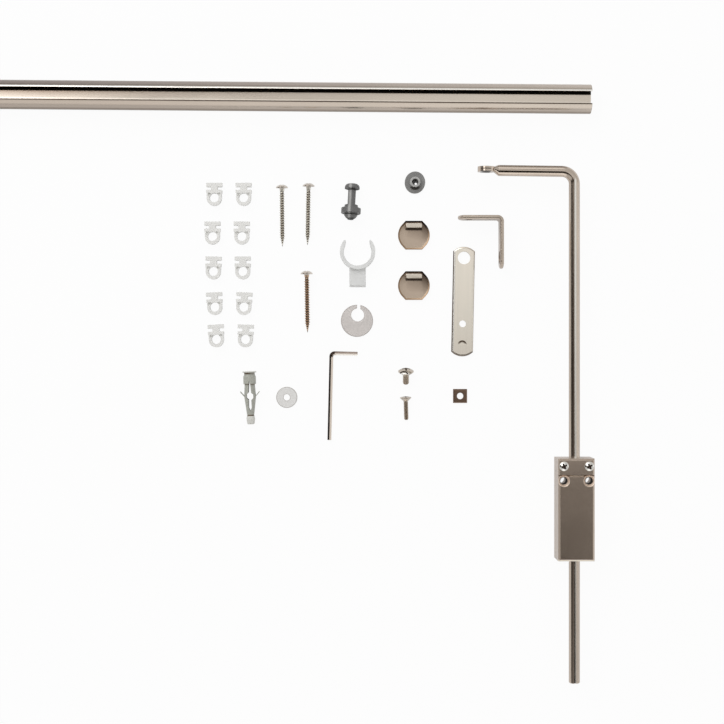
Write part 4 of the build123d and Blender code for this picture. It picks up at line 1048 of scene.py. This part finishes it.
for number, turn, metal in ((1, 0.3, lit_thread_metal), (2, -1.1, lit_thread_metal), (3, 0.7, brown_metal)):
    node = f"wood_screw_{number}"
    low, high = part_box(node)
    place = screw_frame(
        (low[0] + high[0]) / 2,
        high[1],
        math.radians(turn),
        WOOD_HEAD_RADIUS,
        WOOD_HEAD_HEIGHT,
        WOOD_CREST,
        WOOD_LAST_CREST,
    )
    shape = head_only(node, place, WOOD_HEAD_HEIGHT + 0.5 * MM)
    shank = bmesh.new()
    turned_bar(
        shank,
        (
            (WOOD_NECK_START, 0.0),
            (WOOD_NECK_START, WOOD_NECK_RADII[0]),
            (WOOD_NECK_END - 1.0 * MM, WOOD_NECK_RADII[1]),
            (WOOD_NECK_END, WOOD_CORE),
            (WOOD_TAPER, WOOD_CORE),
            (WOOD_LENGTH - 0.4 * MM, WOOD_POINT_RADIUS),
            (WOOD_LENGTH, 0.0),
        ),
    )
    core_points = len(shank.verts)
    thread_ridge(
        shank, WOOD_NECK_END, WOOD_LENGTH - 1.2 * MM, WOOD_CORE, WOOD_CREST, WOOD_PITCH, WOOD_RIDGE
    )
    map_grooves(shank, WOOD_CORE, WOOD_CREST)
    shank.verts.ensure_lookup_table()
    for point in shank.verts[core_points:]:
        into = min(max((point.co.x - WOOD_TAPER) / (WOOD_LENGTH - WOOD_TAPER), 0.0), 1.0)
        out = min(max((WOOD_NECK_END + WOOD_PITCH - point.co.x) / WOOD_PITCH, 0.0), 1.0)
        thinner = 1.0 - WOOD_THIN_POINT * into
        sunk = 1.0 - WOOD_SUNK_START * out
        point.co.yz *= thinner * sunk
    join_shank(shape, shank, place, slot=1)
    screw = place_piece(f"wood_fixing_{number}", shape, screw_metal, node)
    screw.data.materials.append(metal)

# The hex key is a six-sided steel bar, 2.5 mm across its flats, bent square and ground plain at its
# ends. Its faces are bright, with painted highlights and darker reflections, and a near-black bend.
KEY_PLACE = (-155.4 * MM, 99.3 * MM, math.radians(-1.35))


def painted_highlight_key_face(paint):
    """1 on the long leg's right-hand upper faces, where a highlight is painted."""
    right, up, _ = on_piece(paint, *KEY_PLACE)
    return within(right, 0.0, 3.0 * MM, 0.2 * MM) * (1.0 - up.above(-2.5 * MM, 1.0 * MM))


def painted_dark_key_arm_top(paint):
    """1 on the short arm's far faces, most of all next to the bend: a painted darker reflection."""
    right, up, _ = on_piece(paint, *KEY_PLACE)
    return up.above(0.25 * MM, 0.3 * MM) * (1.0 - right.above(6.0 * MM, 8.0 * MM) * 0.4)


def painted_highlight_key_arm_front(paint):
    """1 on the short arm's near faces, where a highlight is painted."""
    right, up, _ = on_piece(paint, *KEY_PLACE)
    return within(up, -2.2 * MM, -0.5 * MM, 0.3 * MM) * right.above(3.0 * MM, 0.6 * MM)


def key_bend(paint):
    """1 on the bend, which is painted near-black."""
    right, up, _ = on_piece(paint, *KEY_PLACE)
    outside = (1.0 - right.above(2.2 * MM, 0.4 * MM)) * up.above(-2.4 * MM, 0.6 * MM)
    middle = (1.0 - right.above(0.9 * MM, 0.4 * MM)) + up.above(-0.6 * MM, 0.4 * MM)
    return outside * middle.math("MINIMUM", 1.0)


key_metal = plated(
    "bright key steel",
    (0.58, 0.51, 0.45),
    0.18,
    grain=(1.0, 0.01, 1.0),
    grain_scale=STRIP_GRAIN,
    marks=(
        (painted_highlight_key_face, (0.92, 0.81, 0.71), 0.1),
        (painted_highlight_key_arm_front, (1.0, 0.96, 0.9), 0.2),
        (painted_dark_key_arm_top, (0.15, 0.1, 0.08), 0.0),
        (key_bend, (0.03, 0.02, 0.015), 0.1),
    ),
)
soft_copy("hex_key", "bent_key", 0.12 * MM, key_metal)

# The wall plug is moulded in grey-green polyamide. It has a brim at its mouth, a window between its
# two halves and a split tail, so that a screw spreads it in the wall.
PLUG_PLACE = (-208.1 * MM, 87.6 * MM, math.radians(1.6))


def plug_ends(paint):
    """1 on the plug's brim and on its tail, where the plastic is thin and pale."""
    _, up, _ = on_piece(paint, *PLUG_PLACE)
    return up.above(-0.6 * MM, 0.2 * MM) + (1.0 - up.above(-28.8 * MM, 0.3 * MM))


def painted_shade_plug_corners(paint):
    """1 where shade is painted: under the brim, below the shoulder, in the window and the groove.
    """
    right, up, height = on_piece(paint, *PLUG_PLACE)
    brim = within(up, -1.8 * MM, -0.8 * MM, 0.3 * MM)
    brim = brim * (1.0 - right.above(0.5 * MM, 2.0 * MM) * 0.6)
    shoulder = within(up, -8.7 * MM, -8.0 * MM, 0.3 * MM) * 0.7
    groove = within(up, -28.7 * MM, -27.9 * MM, 0.3 * MM)
    inside = 1.0 - right.math("ABSOLUTE").above(2.1 * MM, 0.4 * MM)
    window = within(up, -18.2 * MM, -8.7 * MM, 0.4 * MM) * inside
    window = window * (1.0 - height.above(3.4 * MM, 0.8 * MM)) * 0.8
    return (brim + shoulder + groove + window).math("MINIMUM", 1.0)


plug_plastic = moulded(
    "grey-green plug",
    (0.53, 0.54, 0.485),
    0.4,
    speckle=0.08,
    marks=((plug_ends, (0.8, 0.8, 0.76), 0.0), (painted_shade_plug_corners, (0.17, 0.12, 0.075), 0.1)),
)
soft_copy("wall_plug", "split_plug", 0.15 * MM, plug_plastic)

# The washer is punched from white nylon sheet, and lies flat. Its outer edge and its bore are
# painted darker than its face, as painted shade.
WASHER_X, WASHER_Y = middle_of("nylon_washer")


def painted_shade_washer_edges(paint):
    """1 on the washer's punched edges, where shade is painted."""
    x, y, _ = coordinates(paint)
    reach = distance_of(x - WASHER_X, y - WASHER_Y)
    return (reach.above(6.35 * MM, 0.3 * MM) + (1.0 - reach.above(2.45 * MM, 0.3 * MM))) * 0.7


nylon = moulded(
    "white nylon",
    (0.95, 0.945, 0.935),
    0.4,
    speckle=0.03,
    marks=((painted_shade_washer_edges, (0.5, 0.47, 0.44), 0.0),),
)
soft_copy("nylon_washer", "flat_washer", 0.12 * MM, nylon)

# The two machine screws are nickel-plated M4 and M3 with rolled threads, and the square nut is dark
# steel with a bevel on its upper face.
OVAL_RIM_MIDDLE = (-108.9 * MM, 84.7 * MM)
OVAL_CONE_MIDDLE = (-108.3 * MM, 85.85 * MM)


def painted_shade_under_rim(paint):
    """1 in an arc below the rim of the oval head, where its shade is painted."""
    x, y, _ = coordinates(paint)
    reach = distance_of(x - OVAL_RIM_MIDDLE[0], y - OVAL_RIM_MIDDLE[1])
    return within(reach, 2.35 * MM, 3.1 * MM, 0.2 * MM) * y.above(85.8 * MM, 0.3 * MM)


def painted_highlight_cone(paint):
    """1 on the turned cone of the oval head, where a highlight is painted."""
    x, y, _ = coordinates(paint)
    across = (x - OVAL_CONE_MIDDLE[0]).math("ABSOLUTE")
    band = within(y - OVAL_CONE_MIDDLE[1], -0.75 * MM, 0.75 * MM, 0.3 * MM)
    return band * (1.0 - across.above(2.8 * MM, 0.5 * MM))


machine_metal = plated(
    "nickel-plated machine screw",
    (0.68, 0.61, 0.53),
    0.2,
    marks=(
        (painted_shade_in_grooves, (0.3, 0.235, 0.18), 0.1),
        (painted_highlight_cone, (1.0, 0.97, 0.92), 0.2),
        (painted_shade_under_rim, (0.02, 0.012, 0.008), 0.1),
    ),
)
MACHINE_RIDGE_SHARE = 0.46
MACHINE_SCREWS = (
    # CAD node, piece and turn in degrees; in millimetres, the crown's x and y, the head's radius,
    # the distances to its rim's end and to its cone's end, the thread's crest radius, the screw's
    # length, the core's radius and the pitch
    (
        ("machine_screw_oval", "oval_screw", 0.0),
        (-107.4, 89.4, 5.0, 2.1, 4.5, 2.0, 10.6, 1.62, 0.7),
    ),
    (
        ("machine_screw_countersunk", "flush_screw", 2.0),
        (-107.6, 71.3, 3.65, 0.8, 2.8, 1.5, 15.1, 1.2, 0.5),
    ),
)
for (node, piece, turn), sizes in MACHINE_SCREWS:
    x, y, head, rim_end, cone_end, crest, length, core, pitch = (size * MM for size in sizes)
    thread_end = length - 0.5 * MM
    place = screw_frame(x, y, math.radians(turn), head, rim_end, crest, thread_end)
    shape = head_only(node, place, cone_end - 0.1 * MM)
    shank = bmesh.new()
    turned_bar(
        shank,
        (
            (cone_end - 0.6 * MM, 0.0),
            (cone_end - 0.6 * MM, crest),
            (cone_end + 0.3 * MM, crest),
            (cone_end + 0.6 * MM, core),
            (length - 0.4 * MM, core),
            (length, core - 0.3 * MM),
            (length, 0.0),
        ),
    )
    ridge = pitch * MACHINE_RIDGE_SHARE
    thread_ridge(shank, cone_end + 0.4 * MM, thread_end, core, crest, pitch, ridge)
    map_grooves(shank, core, crest)
    join_shank(shape, shank, place)
    place_piece(piece, shape, machine_metal, node)
dark_metal = plated("dark steel", (0.245, 0.165, 0.12), 0.25)
soft_copy("square_nut", "dark_nut", 0.2 * MM, dark_metal)
